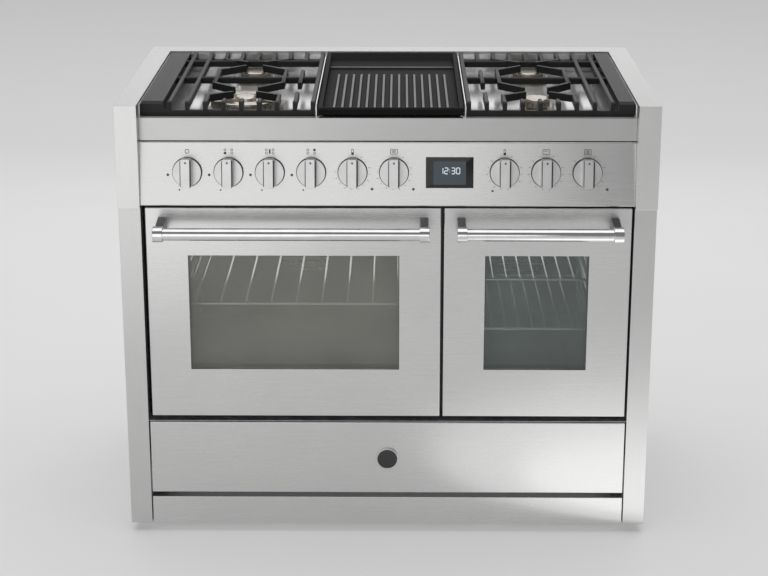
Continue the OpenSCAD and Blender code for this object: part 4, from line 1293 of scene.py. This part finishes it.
@dataclass
class Handle:
    """A door handle: polished bar, stepped end caps and two tapered brackets in steel painted dark, a painted
    shade.

    Args:
        side: Which door carries it.
        finishes: The cooker's finishes.
        bar: Radius of the bar.
        cap: Radius of the end caps.
        cap_length: Length of a cap.
        overlap: How far the bar reaches into a cap.
        step: Width and depth of the step round a cap's inner end.
        ring: Width of the ring on a cap's outer end.
        bracket: Width of a bracket.
        tall: Half the height of a bracket.
        draw: How far a bracket draws in towards the bar, across and in height.
    """

    side: str
    finishes: Finishes
    bar: float = 11.5 * MM
    cap: float = 14.5 * MM
    cap_length: float = 18.5 * MM
    overlap: float = 2 * MM
    step: Pair = (1.6 * MM, 1.2 * MM)
    ring: float = 3 * MM
    bracket: float = 16 * MM
    tall: float = 14 * MM
    draw: Pair = (0.9, 0.62)

    def build(self) -> Piece:
        """Models bar, caps and brackets.

        Returns:
            The handle, standing for its CAD node.
        """
        node = f"{self.side}_door_handle"
        low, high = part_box(node)
        y, z = low.y + self.cap, (low.z + high.z) / 2
        ends = ((1, low.x), (-1, high.x))
        parts = [self._bar(low.x, high.x, y, z)] + [self._cap(end, sign, y, z) for sign, end in ends]
        for part in parts:
            self.finishes.dress(part, Finishes.MIRROR)
        for sign, end in ends:
            # The brackets wear steel painted dark, a painted shade
            bracket = self._bracket(end + sign * self.cap_length / 2, y, high.y, z)
            parts.append(self.finishes.dress(bracket, Finishes.BRACKET_PAINTED_SHADE))
        handle = Bench.join(f"{self.side}_handle_bar", parts)
        return fit(handle, f"{self.side}_door", "bright_steel", node)

    def _bar(self, left: float, right: float, y: float, z: float) -> Piece:
        """Turns the round bar between the caps.

        Args:
            left: The handle's left end.
            right: Its right end.
            y: Place of the bar's axis along Y.
            z: Place of the bar's axis along Z.

        Returns:
            The bar.
        """
        inside = self.cap_length - self.overlap
        bar = Bench.rod("bar", (left + inside, y, z), (right - inside, y, z), self.bar, sides=64)
        Bench.smooth(bar)
        return bar

    def _cap(self, end: float, sign: int, y: float, z: float) -> Piece:
        """Turns one end cap, with a step by the bar and a ring on its end.

        Args:
            end: Place of its outer end.
            sign: 1 for the left cap and -1 for the right one.
            y: Place of the bar's axis along Y.
            z: Place of the bar's axis along Z.

        Returns:
            The cap.
        """
        cap = Bench.rod("cap", (end, y, z), (end + sign * self.cap_length, y, z), self.cap, sides=64)
        width, depth = self.step
        with Bench.editing(cap):
            Bench.faces(cap, lambda c, n: sign * n.x > FACING)
            bpy.ops.mesh.inset(thickness=width)
            bpy.ops.transform.translate(value=(-sign * depth, 0, 0))
            Bench.faces(cap, lambda c, n: sign * n.x < -FACING)
            bpy.ops.mesh.inset(thickness=self.ring)
        Bench.soften(cap, 0.9 * MM, segments=3, angle=30)
        return cap

    def _bracket(self, x: float, y: float, back: float, z: float) -> Piece:
        """Models one bracket, drawn in towards the bar.

        Args:
            x: Its middle.
            y: Place of the bar's axis along Y.
            back: Where it meets the door.
            z: Place of the bar's axis along Z.

        Returns:
            The bracket.
        """
        half = self.bracket / 2
        across, upright = self.draw
        bracket = Bench.block("bracket", (x - half, y, z - self.tall), (x + half, back, z + self.tall))
        with Bench.editing(bracket):
            Bench.faces(bracket, lambda c, n: n.y < -FACING)
            bpy.ops.transform.resize(value=(across, 1, upright))
        Bench.soften(bracket, 1.6 * MM, segments=3)
        return bracket


@dataclass
class Knobs:
    """Nine turned knobs, each a dial with a raised grip bar and an index dot.

    Args:
        finishes: The cooker's finishes.
        lean: How far the control panel leans back, in radians.
        dial: Radius of the dial.
        gap: Distance from the panel to the dial.
        thick: Thickness of the dial.
        taper: How far the dial's face draws in.
        lip: How far the dark ring behind the dial, a painted shadow round it, stands out.
        shadow_lip_thick: Thickness of that ring.
        grip: Width of the grip bar.
        tall: Height of the grip bar.
        out: Distance from the panel to the grip's face.
        corner: Radius of the grip's upright corners.
        draw: How far the grip's face draws in, across and in height.
        edges: Widths of the strips of painted shade along the left and right edges of the grip's face.
        spindle: Radius and length of the spindle.
        overlap: How far grip and spindle reach into the dial.
        dot: Radius of the index dot.
        dot_up: Height of the index dot above the axis.
        dot_out: Where the dot begins and ends about the grip's face.
    """

    finishes: Finishes
    lean: float
    dial: float = 27.5 * MM
    gap: float = 1 * MM
    thick: float = 8 * MM
    taper: float = 0.955
    lip: float = 0.3 * MM
    shadow_lip_thick: float = 1.2 * MM
    grip: float = 21.5 * MM
    tall: float = 54 * MM
    out: float = 35 * MM
    corner: float = 5.5 * MM
    draw: Pair = (0.96, 0.985)
    edges: Pair = (1.5 * MM, 2.8 * MM)
    spindle: Pair = (3 * MM, 34 * MM)
    overlap: float = 1 * MM
    dot: float = 1.9 * MM
    dot_up: float = 20 * MM
    dot_out: Pair = (-0.6 * MM, 0.05 * MM)

    def build(self, places: Sequence[Vector]) -> List[Piece]:
        """Models the first knob and copies it to the other spindles.

        Args:
            places: The point of each knob's axis on the panel's face.

        Returns:
            The nine knobs.
        """
        first = self._one()
        Bench.settle(first, on_panel(places[0], self.lean, places[0].x))
        knobs = [first]
        for place in places[1:]:
            knobs.append(Bench.copy(first, "knob", Matrix.Translation(place - places[0])))
        for index, knob in enumerate(knobs, 1):
            knob.name = knob.data.name = f"knob_turned_{index}"
            fit(knob, f"knob_{index}", "bright_steel", f"knob_{index}")
        return knobs

    def _one(self) -> Piece:
        """Returns one knob at the origin, its axis along Z."""
        return Bench.join("knob", [self._dial(), self._shadow_lip(), self._grip(), self._spindle(), self._dot()])

    def _dial(self) -> Piece:
        """Turns the round dial, with painted shade on its rim.

        Returns:
            The dial.
        """
        dial = Bench.rod("dial", (0, 0, self.gap), (0, 0, self.gap + self.thick), self.dial, sides=96)
        self.finishes.dress(dial, Finishes.SATIN, Finishes.KNOB_SIDE)
        with Bench.editing(dial):
            Bench.faces(dial, lambda c, n: n.z > FACING)
            bpy.ops.transform.resize(value=(self.taper, self.taper, 1))
            # The rim takes the painted shade
            Bench.faces(dial, lambda c, n: abs(n.z) < FACING)
            Bench.assign(dial, 1)
        Bench.soften(dial, 0.35 * MM, segments=2, angle=30)
        return dial

    def _shadow_lip(self) -> Piece:
        """Turns the dark ring behind the dial, a painted shadow round it.

        Returns:
            The ring.
        """
        face = self.gap + self.shadow_lip_thick
        # Painted shadow: a dark ring round the dial's base
        lip = Bench.rod("lip", (0, 0, self.gap), (0, 0, face), self.dial + self.lip, sides=96)
        Bench.soften(lip, 0.3 * MM, segments=2, angle=30)
        return self.finishes.dress(lip, Finishes.KNOB_SIDE)

    def _grip(self) -> Piece:
        """Models the grip bar, with rounded ends that follow the dial and a flat face with painted shade
        along its edges.

        Returns:
            The grip bar.
        """
        half, (across, upright) = self.grip / 2, self.draw
        bar = Bench.block("grip", (-half, -self.tall / 2, self.gap + self.thick - self.overlap),
                          (half, self.tall / 2, self.out))
        left, right = self.edges[0] - half * across, half * across - self.edges[1]
        with Bench.editing(bar, "EDGE"):
            Bench.edges(bar, Bench.is_post)
            bpy.ops.mesh.bevel(offset=self.corner, segments=6)
            bpy.ops.mesh.select_mode(type="FACE")
            Bench.faces(bar, lambda c, n: n.z > FACING)
            bpy.ops.transform.resize(value=(across, upright, 1))
            for x in (left, right):
                bpy.ops.mesh.select_all(action="SELECT")
                bpy.ops.mesh.bisect(plane_co=(x, 0, 0), plane_no=(1, 0, 0))
        self.finishes.dress(bar, Finishes.SATIN, Finishes.KNOB_SIDE)
        with Bench.editing(bar):
            # The face's edge strips take the painted shade
            Bench.faces(bar, lambda c, n: n.z > FACING and not left < c.x < right)
            Bench.assign(bar, 1)
        Bench.soften(bar, 0.25 * MM, segments=2, angle=30)
        return bar

    def _spindle(self) -> Piece:
        """Turns the spindle that reaches through the panel.

        Returns:
            The spindle.
        """
        radius, length = self.spindle
        spindle = Bench.rod("spindle", (0, 0, -length), (0, 0, self.gap + self.overlap), radius, sides=24)
        Bench.smooth(spindle)
        return self.finishes.dress(spindle, Finishes.SATIN)

    def _dot(self) -> Piece:
        """Models the index dot on the grip's face.

        Returns:
            The dot.
        """
        back, face = (self.out + part for part in self.dot_out)
        dot = Bench.rod("dot", (0, self.dot_up, back), (0, self.dot_up, face), self.dot, sides=20)
        with Bench.editing(dot):
            Bench.faces(dot, lambda c, n: n.z > FACING)
            bpy.ops.mesh.inset(thickness=0.5 * MM)
        return self.finishes.dress(dot, Finishes.DIMPLE)


class Sign(Enum):
    """The plain signs printed above the knobs."""

    RING = "a plain ring"
    FRONT_LEFT = "hob plan, front left filled"
    REAR_RIGHT = "hob plan, rear right filled"
    GRIDDLE = "hob plan with a bar in the middle"
    OVEN = "a box with one line"
    LINES = "a box with three lines"
    HEAT = "a small thermometer"


@dataclass
class Print:
    """The signs, dots and ticks printed on the leaning control panel.

    Points on the panel are in millimetres from a knob's axis: X to the right, Y up the panel.

    Args:
        finishes: The cooker's finishes.
        origin: A point on the panel's face, at the height of the knobs' axes.
        lean: How far the panel leans back, in radians.
        ink: Thickness of the print.
        sunk: How far the print reaches into the panel.
        icon_up: Distance of the signs above the knobs' axes, in millimetres.
        dot: Radius of an end dot.
        burner: Radius of a burner in a hob plan.
        line: Width of a sign's line.
        tick: Width of a tick.
        tick_ring: Radii of a tick's inner end and of a long and a short tick's outer end, in millimetres.
        parts: What is printed so far.
    """

    finishes: Finishes
    origin: Vector
    lean: float
    ink: float = 0.15 * MM
    sunk: float = 0.1 * MM
    icon_up: float = 38.5
    dot: float = 2.5 * MM
    burner: float = 2.4 * MM
    line: float = 1.0 * MM
    tick: float = 0.8 * MM
    tick_ring: Point = (30.5, 34.0, 32.6)
    parts: List[Piece] = field(default_factory=list)

    def _add(self, piece: Piece, x: float, spot: Pair, turn: float = 0.0) -> None:
        """Puts a print that was made at the origin beside the knob at x.

        Args:
            piece: The print.
            x: The knob's place.
            spot: Where it goes.
            turn: How far it is turned, in radians.
        """
        middle = Matrix.Translation(Vector((*spot, 0)) * MM)
        Bench.settle(piece, on_panel(self.origin, self.lean, x) @ middle @ Matrix.Rotation(turn, 4, "Z"))
        self.parts.append(piece)

    def _bar(self, x: float, start: Pair, end: Pair, wide: float) -> None:
        """Prints one straight stroke beside a knob.

        Args:
            x: The knob's place.
            start: One end.
            end: The other end.
            wide: Its width.
        """
        right, up = end[0] - start[0], end[1] - start[1]
        long = math.hypot(right, up) * MM
        stroke = Bench.block("stroke", (-long / 2, -wide / 2, -self.sunk), (long / 2, wide / 2, self.ink))
        with Bench.editing(stroke):
            Bench.faces(stroke, lambda c, n: n.z > FACING)
            bpy.ops.mesh.inset(thickness=wide * 0.12)
        self._add(stroke, x, ((start[0] + end[0]) / 2, (start[1] + end[1]) / 2), math.atan2(up, right))

    def _spot(self, x: float, spot: Pair, radius: float) -> None:
        """Prints one dot beside a knob.

        Args:
            x: The knob's place.
            spot: Its middle.
            radius: Its radius.
        """
        piece = Bench.rod("spot", (0, 0, -self.sunk), (0, 0, self.ink), radius, sides=20)
        with Bench.editing(piece):
            Bench.faces(piece, lambda c, n: n.z > FACING)
            bpy.ops.mesh.inset(thickness=radius * 0.3)
        self._add(piece, x, spot)

    def _ring(self, x: float, spot: Pair, radius: float, wide: float) -> None:
        """Prints one ring beside a knob.

        Args:
            x: The knob's place.
            spot: Its middle.
            radius: Its outer radius.
            wide: Its width.
        """
        ring = Bench.rod("ring", (0, 0, -self.sunk), (0, 0, self.ink), radius, sides=28)
        inner = radius - wide * 0.5
        with Bench.editing(ring):
            Bench.faces(ring, lambda c, n: abs(n.z) > FACING)
            bpy.ops.mesh.inset(thickness=wide)
            bpy.ops.mesh.delete(type="FACE")
            bpy.ops.mesh.select_mode(type="EDGE")
            Bench.edges(ring, lambda a, b: max(a.xy.length, b.xy.length) < inner and abs(a.z - b.z) < TOUCH)
            bpy.ops.mesh.bridge_edge_loops()
        self._add(ring, x, spot)

    def _frame(self, x: float, spot: Pair, width: float, height: float, wide: float) -> None:
        """Prints the outline of a box beside a knob.

        Args:
            x: The knob's place.
            spot: Its middle.
            width: Its width in millimetres.
            height: Its height in millimetres.
            wide: Width of its line.
        """
        left, right = spot[0] - width / 2, spot[0] + width / 2
        bottom, top = spot[1] - height / 2, spot[1] + height / 2
        for y in (bottom, top):
            self._bar(x, (left, y), (right, y), wide)
        for side in (left, right):
            self._bar(x, (side, bottom), (side, top), wide)

    def _plan(self, x: float, chosen: Optional[Tuple[int, int]]) -> None:
        """Prints a plan of the hob above a knob, with one burner or the middle filled.

        Args:
            x: The knob's place.
            chosen: The burner's side and row, each -1 or 1, or none for the middle.
        """
        across, deep = 6.2, 3.0
        for side in (-1, 1):
            for row in (-1, 1):
                spot = (side * across, self.icon_up + row * deep)
                if (side, row) == chosen:
                    self._spot(x, spot, self.dot)
                else:
                    self._ring(x, spot, self.burner, 0.9 * MM)
        if chosen is None:
            self._bar(x, (0, self.icon_up - 4.2), (0, self.icon_up + 4.2), 3 * self.line)

    def sign(self, x: float, sign: Sign) -> None:
        """Prints a sign above the knob at x.

        Args:
            x: The knob's place.
            sign: The sign.
        """
        middle = (0, self.icon_up)
        if sign is Sign.RING:
            self._ring(x, middle, 4.2 * MM, 1.1 * MM)
        elif sign is Sign.HEAT:
            self._frame(x, middle, width=3.4, height=8.5, wide=0.9 * MM)
            self._spot(x, (0, self.icon_up - 3.8), self.dot)
        elif sign in (Sign.OVEN, Sign.LINES):
            self._frame(x, middle, width=12.5, height=9.0, wide=self.line)
            for row in (1.6,) if sign is Sign.OVEN else (2.0, 0.0, -2.0):
                self._bar(x, (-3.6, self.icon_up + row), (3.6, self.icon_up + row), self.line)
        else:
            self._plan(x, {Sign.FRONT_LEFT: (-1, -1), Sign.REAR_RIGHT: (1, 1)}.get(sign))

    def ticks(self, x: float, count: int, start: float, step: float) -> None:
        """Prints a ring of short ticks round a knob.

        Args:
            x: The knob's place.
            count: How many ticks.
            start: Angle of the first tick from the top, clockwise, in degrees.
            step: Angle between ticks.
        """
        inner, long, short = self.tick_ring
        for index in range(count):
            angle = math.radians(90 - start - index * step)
            right, up = math.cos(angle), math.sin(angle)
            outer = short if index % 2 else long
            self._bar(x, (right * inner, up * inner), (right * outer, up * outer), self.tick)

    def build(self, places: Sequence[Vector]) -> Piece:
        """Prints every sign, dot and tick, and joins them to one piece.

        Args:
            places: The points of the knobs' axes on the panel's face.

        Returns:
            The print.
        """
        signs = (Sign.RING, Sign.FRONT_LEFT, Sign.GRIDDLE, Sign.REAR_RIGHT, Sign.HEAT, Sign.LINES, Sign.HEAT,
                 Sign.OVEN, Sign.LINES)
        taps, left_ovens = 4, 6
        for index, (place, sign) in enumerate(zip(places, signs)):
            self.sign(place.x, sign)
            if index < taps:
                self._spot(place.x, (-36, -5), self.dot)
                self._spot(place.x, (-15, -33), self.dot * 0.6)
            elif index < left_ovens:
                self._spot(place.x, (36, -31), self.dot)
                self.ticks(place.x, count=12, start=30, step=22)
            else:
                self.ticks(place.x, count=14, start=24, step=24)
        self._spot(places[8].x, (37, -31), self.dot)
        self._spot(places[left_ovens].x, (-22, -34), self.dot * 0.8)
        marks = Bench.join("panel_marks", self.parts)
        self.finishes.dress(marks, Finishes.INK)
        return fit(marks, "cabinet", "plastic")


@dataclass
class Clock:
    """The lit screen and its four digits behind the display's glass.

    Args:
        finishes: The cooker's finishes.
        origin: A point on the panel's face, at the height of the knobs' axes.
        lean: How far the panel leans back, in radians.
        out: How far the screen stands out of the panel's face.
        screen: The screen's lowest and highest corners about the display's middle.
        digit: A digit's width, height and thickness of stroke.
        first: Place of the first digit, to the right.
        pitch: Distance between digits.
        pause: Extra room for the colon.
        up: Height of the digits' middles.
        colon: Distance of the colon's dots from their middle, and half their size.
        proud: Depth of the digits.
    """

    finishes: Finishes
    origin: Vector
    lean: float
    out: float = 1.0 * MM
    screen: Tuple[Point, Point] = ((-30 * MM, -22.5 * MM, -0.2 * MM), (30 * MM, 21 * MM, 0.12 * MM))
    digit: Point = (6.2 * MM, 11.0 * MM, 1.5 * MM)
    first: float = -15.6 * MM
    pitch: float = 9.2 * MM
    pause: float = 3.6 * MM
    up: float = 3.4 * MM
    colon: Pair = (2.2 * MM, 0.6 * MM)
    proud: float = 0.25 * MM

    def build(self) -> None:
        """Sets the screen and the digits in the panel."""
        low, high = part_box("display_glass")
        up = ((low.z + high.z) / 2 - self.origin.z) / math.cos(self.lean)
        base = on_panel(self.origin, self.lean, (low.x + high.x) / 2) @ Matrix.Translation((0, up, self.out))
        screen = Bench.block("display_screen", *self.screen)
        with Bench.editing(screen):
            Bench.faces(screen, lambda c, n: n.z > FACING)
            bpy.ops.mesh.inset(thickness=0.8 * MM)
            bpy.ops.transform.translate(value=(0, 0, -0.05 * MM))
        Bench.settle(screen, base)
        self.finishes.dress(screen, Finishes.SCREEN)
        fit(screen, "cabinet", "black_glass")
        digits = Bench.join("display_digits", self._strokes())
        Bench.settle(digits, base @ Matrix.Translation((0, 0, 0.05 * MM)))
        self.finishes.dress(digits, Finishes.DIGIT)
        fit(digits, "cabinet", "black_glass")

    def _strokes(self) -> List[Piece]:
        """Models the four digits and the colon.

        Returns:
            Their bars and dots.
        """
        lit = {"0": "abcdef", "1": "bc", "2": "abged", "3": "abgcd"}
        strokes = []
        for slot, digit in enumerate("1230"):
            x = self.first + slot * self.pitch + (self.pause if slot > 1 else 0)
            strokes += [self._segment(which, x) for which in lit[digit]]
        away, half = self.colon
        for row in (self.up - away, self.up + away):
            strokes.append(Bench.block("colon", (-half, row - half, 0), (half, row + half, self.proud)))
        return strokes

    def _segment(self, which: str, x: float) -> Piece:
        """Returns one of a digit's seven bars, with pointed ends.

        Args:
            which: Its letter, a to g, from the top clockwise, with g in the middle.
            x: The digit's place.

        Returns:
            The bar.
        """
        width, height, thick = self.digit
        half, quarter = width / 2, height / 4
        spots = {"a": (0, 2 * quarter), "g": (0, 0), "d": (0, -2 * quarter), "b": (half, quarter),
                 "c": (half, -quarter), "f": (-half, quarter), "e": (-half, -quarter)}
        right, up = spots[which]
        long = (2 * quarter if right else width) * 0.94
        wide, tall = (thick, long) if right else (long, thick)
        middle = Vector((x + right, self.up + up, 0))
        bar = Bench.block("segment", middle - Vector((wide / 2, tall / 2, 0)),
                          middle + Vector((wide / 2, tall / 2, self.proud)))
        with Bench.editing(bar, "EDGE"):
            Bench.edges(bar, Bench.is_post)
            bpy.ops.mesh.bevel(offset=thick * 0.42, segments=1)
        return bar


@dataclass
class Badge:
    """A bare round badge: steel rim and black face with two low steps.

    Args:
        finishes: The cooker's finishes.
        rim: Width of the rim.
        sunk: How far the face lies below the rim.
        steps: Width and rise of each step on the face.
    """

    finishes: Finishes
    rim: float = 2.4 * MM
    sunk: float = 0.9 * MM
    steps: Tuple[Pair, ...] = ((5 * MM, 0.5 * MM), (6 * MM, 0.25 * MM))

    def build(self) -> Piece:
        """Turns the disc with its rim and steps.

        Returns:
            The badge, standing for its CAD node.
        """
        low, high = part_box("badge")
        x, z, radius = (low.x + high.x) / 2, (low.z + high.z) / 2, (high.x - low.x) / 2
        disc = Bench.rod("badge_disc", (x, high.y, z), (x, low.y, z), radius, sides=96)
        self.finishes.dress(disc, Finishes.SATIN, Finishes.BADGE)
        with Bench.editing(disc):
            Bench.faces(disc, lambda c, n: n.y < -FACING)
            bpy.ops.mesh.inset(thickness=self.rim)
            Bench.assign(disc, 1)
            bpy.ops.mesh.extrude_region_move(TRANSFORM_OT_translate={"value": (0, self.sunk, 0)})
            for width, rise in self.steps:
                bpy.ops.mesh.inset(thickness=width)
                bpy.ops.transform.translate(value=(0, -rise, 0))
        Bench.soften(disc, 0.5 * MM, segments=2, angle=40)
        return fit(disc, "drawer", "black_enamel", "badge")


class Outline(Enum):
    """A lamp's outline, with the share of its width and height that it fills."""

    RECTANGLE = 1.0
    ELLIPSE = math.pi / 4


@dataclass(frozen=True)
class Lamp:
    """One soft rectangular or oval lamp, out of the camera's sight.

    Args:
        name: The lamp's name.
        place: Where it hangs or lies.
        aim: The point that it faces.
        size: Its width and height in metres.
        glow: Its radiance.
        outline: Its outline.
    """

    name: str
    place: Point
    aim: Point
    size: Pair
    glow: float
    outline: Outline = Outline.RECTANGLE

    def build(self) -> None:
        """Hangs the lamp."""
        data = bpy.data.lights.new(self.name, "AREA")
        data.shape = self.outline.name
        data.size, data.size_y = self.size
        data.energy = self.glow * math.pi * (self.size[0] * self.size[1] * self.outline.value)
        lamp = bpy.data.objects.new(self.name, data)
        bpy.context.scene.collection.objects.link(lamp)
        lamp.location = self.place
        lamp.rotation_euler = (Vector(self.aim) - Vector(self.place)).to_track_quat("-Z", "Y").to_euler()
        lamp.visible_camera = False


@dataclass
class Studio:
    """The pale floor, soft lamps and the camera of the photograph.

    Args:
        eye: The camera's place.
        pitch: How far it looks down, in degrees.
        yaw: How far it is turned to the left, in degrees.
        lens: Focal length in millimetres.
        sensor: Width of the sensor in millimetres.
        ambient: Strength of the even light from all round.
        backdrop: Strength of the backdrop that only the camera sees.
        floor: Width of the floor in metres.
    """

    eye: Point = (0.0220, -3.68185, 1.5775)
    pitch: float = 17.446
    yaw: float = 0.474
    lens: float = 89.61
    sensor: float = 36.0
    ambient: float = 0.22
    backdrop: float = 0.85
    floor: float = 80.0

    def lamps(self) -> List[Lamp]:
        """Lists the studio's lamps and the lights in the two ovens.

        Returns:
            The lamps.
        """
        oval = Outline.ELLIPSE
        found = [
            Lamp("overhead", (0, 1.0, 6.0), (0, 1.0, 0), (8.0, 8.0), 1.18),
            Lamp("front_left", (-1.0, -3.3, 1.08), (-0.1, 0, 0.72), (3.2, 1.5), 1.12),
            Lamp("low_left", (-0.8, -2.1, 0.14), (-0.2, 0, 0.6), (1.2, 0.6), 0.75),
            Lamp("low_right", (0.66, -0.62, 0.02), (0.66, -0.61, 1.0), (1.15, 0.74), 0.5, oval),
            Lamp("low_right_core", (0.60, -0.49, 0.025), (0.60, -0.48, 1.0), (0.66, 0.42), 0.38, oval),
            Lamp("rear", (0, 2.6, 1.55), (0, 0, 0.85), (3.4, 1.0), 0.9),
        ]
        for side in ("left", "right"):
            low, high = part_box(f"{side}_oven_cavity")
            middle, wide = (low.x + high.x) / 2, (high.x - low.x) * 0.8
            place, aim = (middle, high.y - 0.07, high.z - 0.08), (middle, low.y, high.z - 0.2)
            found.append(Lamp(f"{side}_oven_light", place, aim, (wide, 0.1), 1.1))
        return found

    def build(self) -> None:
        """Sets up everything round the cooker."""
        self._floor()
        self._world()
        for lamp in self.lamps():
            lamp.build()
        self._camera()
        bpy.context.scene.view_settings.view_transform = "Standard"

    def _floor(self) -> None:
        """Lays a wide pale floor."""
        Bench.only()
        bpy.ops.mesh.primitive_plane_add(size=self.floor, location=(0, 0, 0))
        floor = bpy.context.object
        floor.name = "floor"
        tree = Tree("pale_floor")
        grain = tree.noise(tree.place(), 3.0, 2.0)
        tone = tree.blend(grain, (0.60, 0.60, 0.60), (0.62, 0.62, 0.62))
        floor.data.materials.append(tree.surface(Base_Color=tone, Roughness=0.9, Specular_IOR_Level=0.2,
                                                 Emission_Color=(1, 1, 1, 1), Emission_Strength=0.28))

    def _world(self) -> None:
        """Lights everything evenly, with a pale backdrop for the camera."""
        world = bpy.data.worlds.new("studio")
        bpy.context.scene.world = world
        world.use_nodes = True
        nodes, links = world.node_tree.nodes, world.node_tree.links
        nodes.clear()
        out = nodes.new("ShaderNodeOutputWorld")
        mix = nodes.new("ShaderNodeMixShader")
        path = nodes.new("ShaderNodeLightPath")
        links.new(path.outputs["Is Camera Ray"], mix.inputs[0])
        for socket, strength in enumerate((self.ambient, self.backdrop), 1):
            glow = nodes.new("ShaderNodeBackground")
            glow.inputs["Color"].default_value = (1, 1, 1, 1)
            glow.inputs["Strength"].default_value = strength
            links.new(glow.outputs[0], mix.inputs[socket])
        links.new(mix.outputs[0], out.inputs["Surface"])

    def _camera(self) -> None:
        """Stands the camera where the photograph was taken from."""
        data = bpy.data.cameras.new("camera")
        data.lens, data.sensor_width = self.lens, self.sensor
        camera = bpy.data.objects.new("camera", data)
        bpy.context.scene.collection.objects.link(camera)
        camera.location = self.eye
        camera.rotation_euler = (math.radians(90 - self.pitch), 0, math.radians(self.yaw))
        bpy.context.scene.camera = camera


def knob_places(lean: float) -> List[Vector]:
    """Finds each knob's axis on the panel's face from the CAD nodes.

    Args:
        lean: The panel's lean in radians.

    Returns:
        Nine points.
    """
    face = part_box("control_panel")[0]
    places = []
    for name in KNOB_NAMES:
        low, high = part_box(name)
        places.append(Vector(((low.x + high.x) / 2, face.y + KNOB_UP * math.tan(lean), KNOB_UP + face.z)))
    return places


def main() -> None:
    """Builds every sub-assembly in turn."""
    logging.basicConfig(level=logging.INFO, format="%(name)s: %(message)s")
    finishes = Finishes()
    Carcass(finishes).build()
    low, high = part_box("control_panel")
    lean = math.atan2(PANEL_SETBACK, high.z - low.z)
    places = knob_places(lean)
    ControlPanel(finishes, lean, PANEL_SETBACK).build(places)
    Front("drawer_front", "drawer", finishes).build()
    for side in ("left", "right"):
        Front(f"{side}_door_skin", f"{side}_door", finishes).build()
        Handle(side, finishes).build()
    Knobs(finishes, lean).build(places)
    Print(finishes, places[0], lean).build(places)
    Clock(finishes, places[0], lean).build()
    Badge(finishes).build()
    Studio().build()


if __name__ == "__main__":
    main()
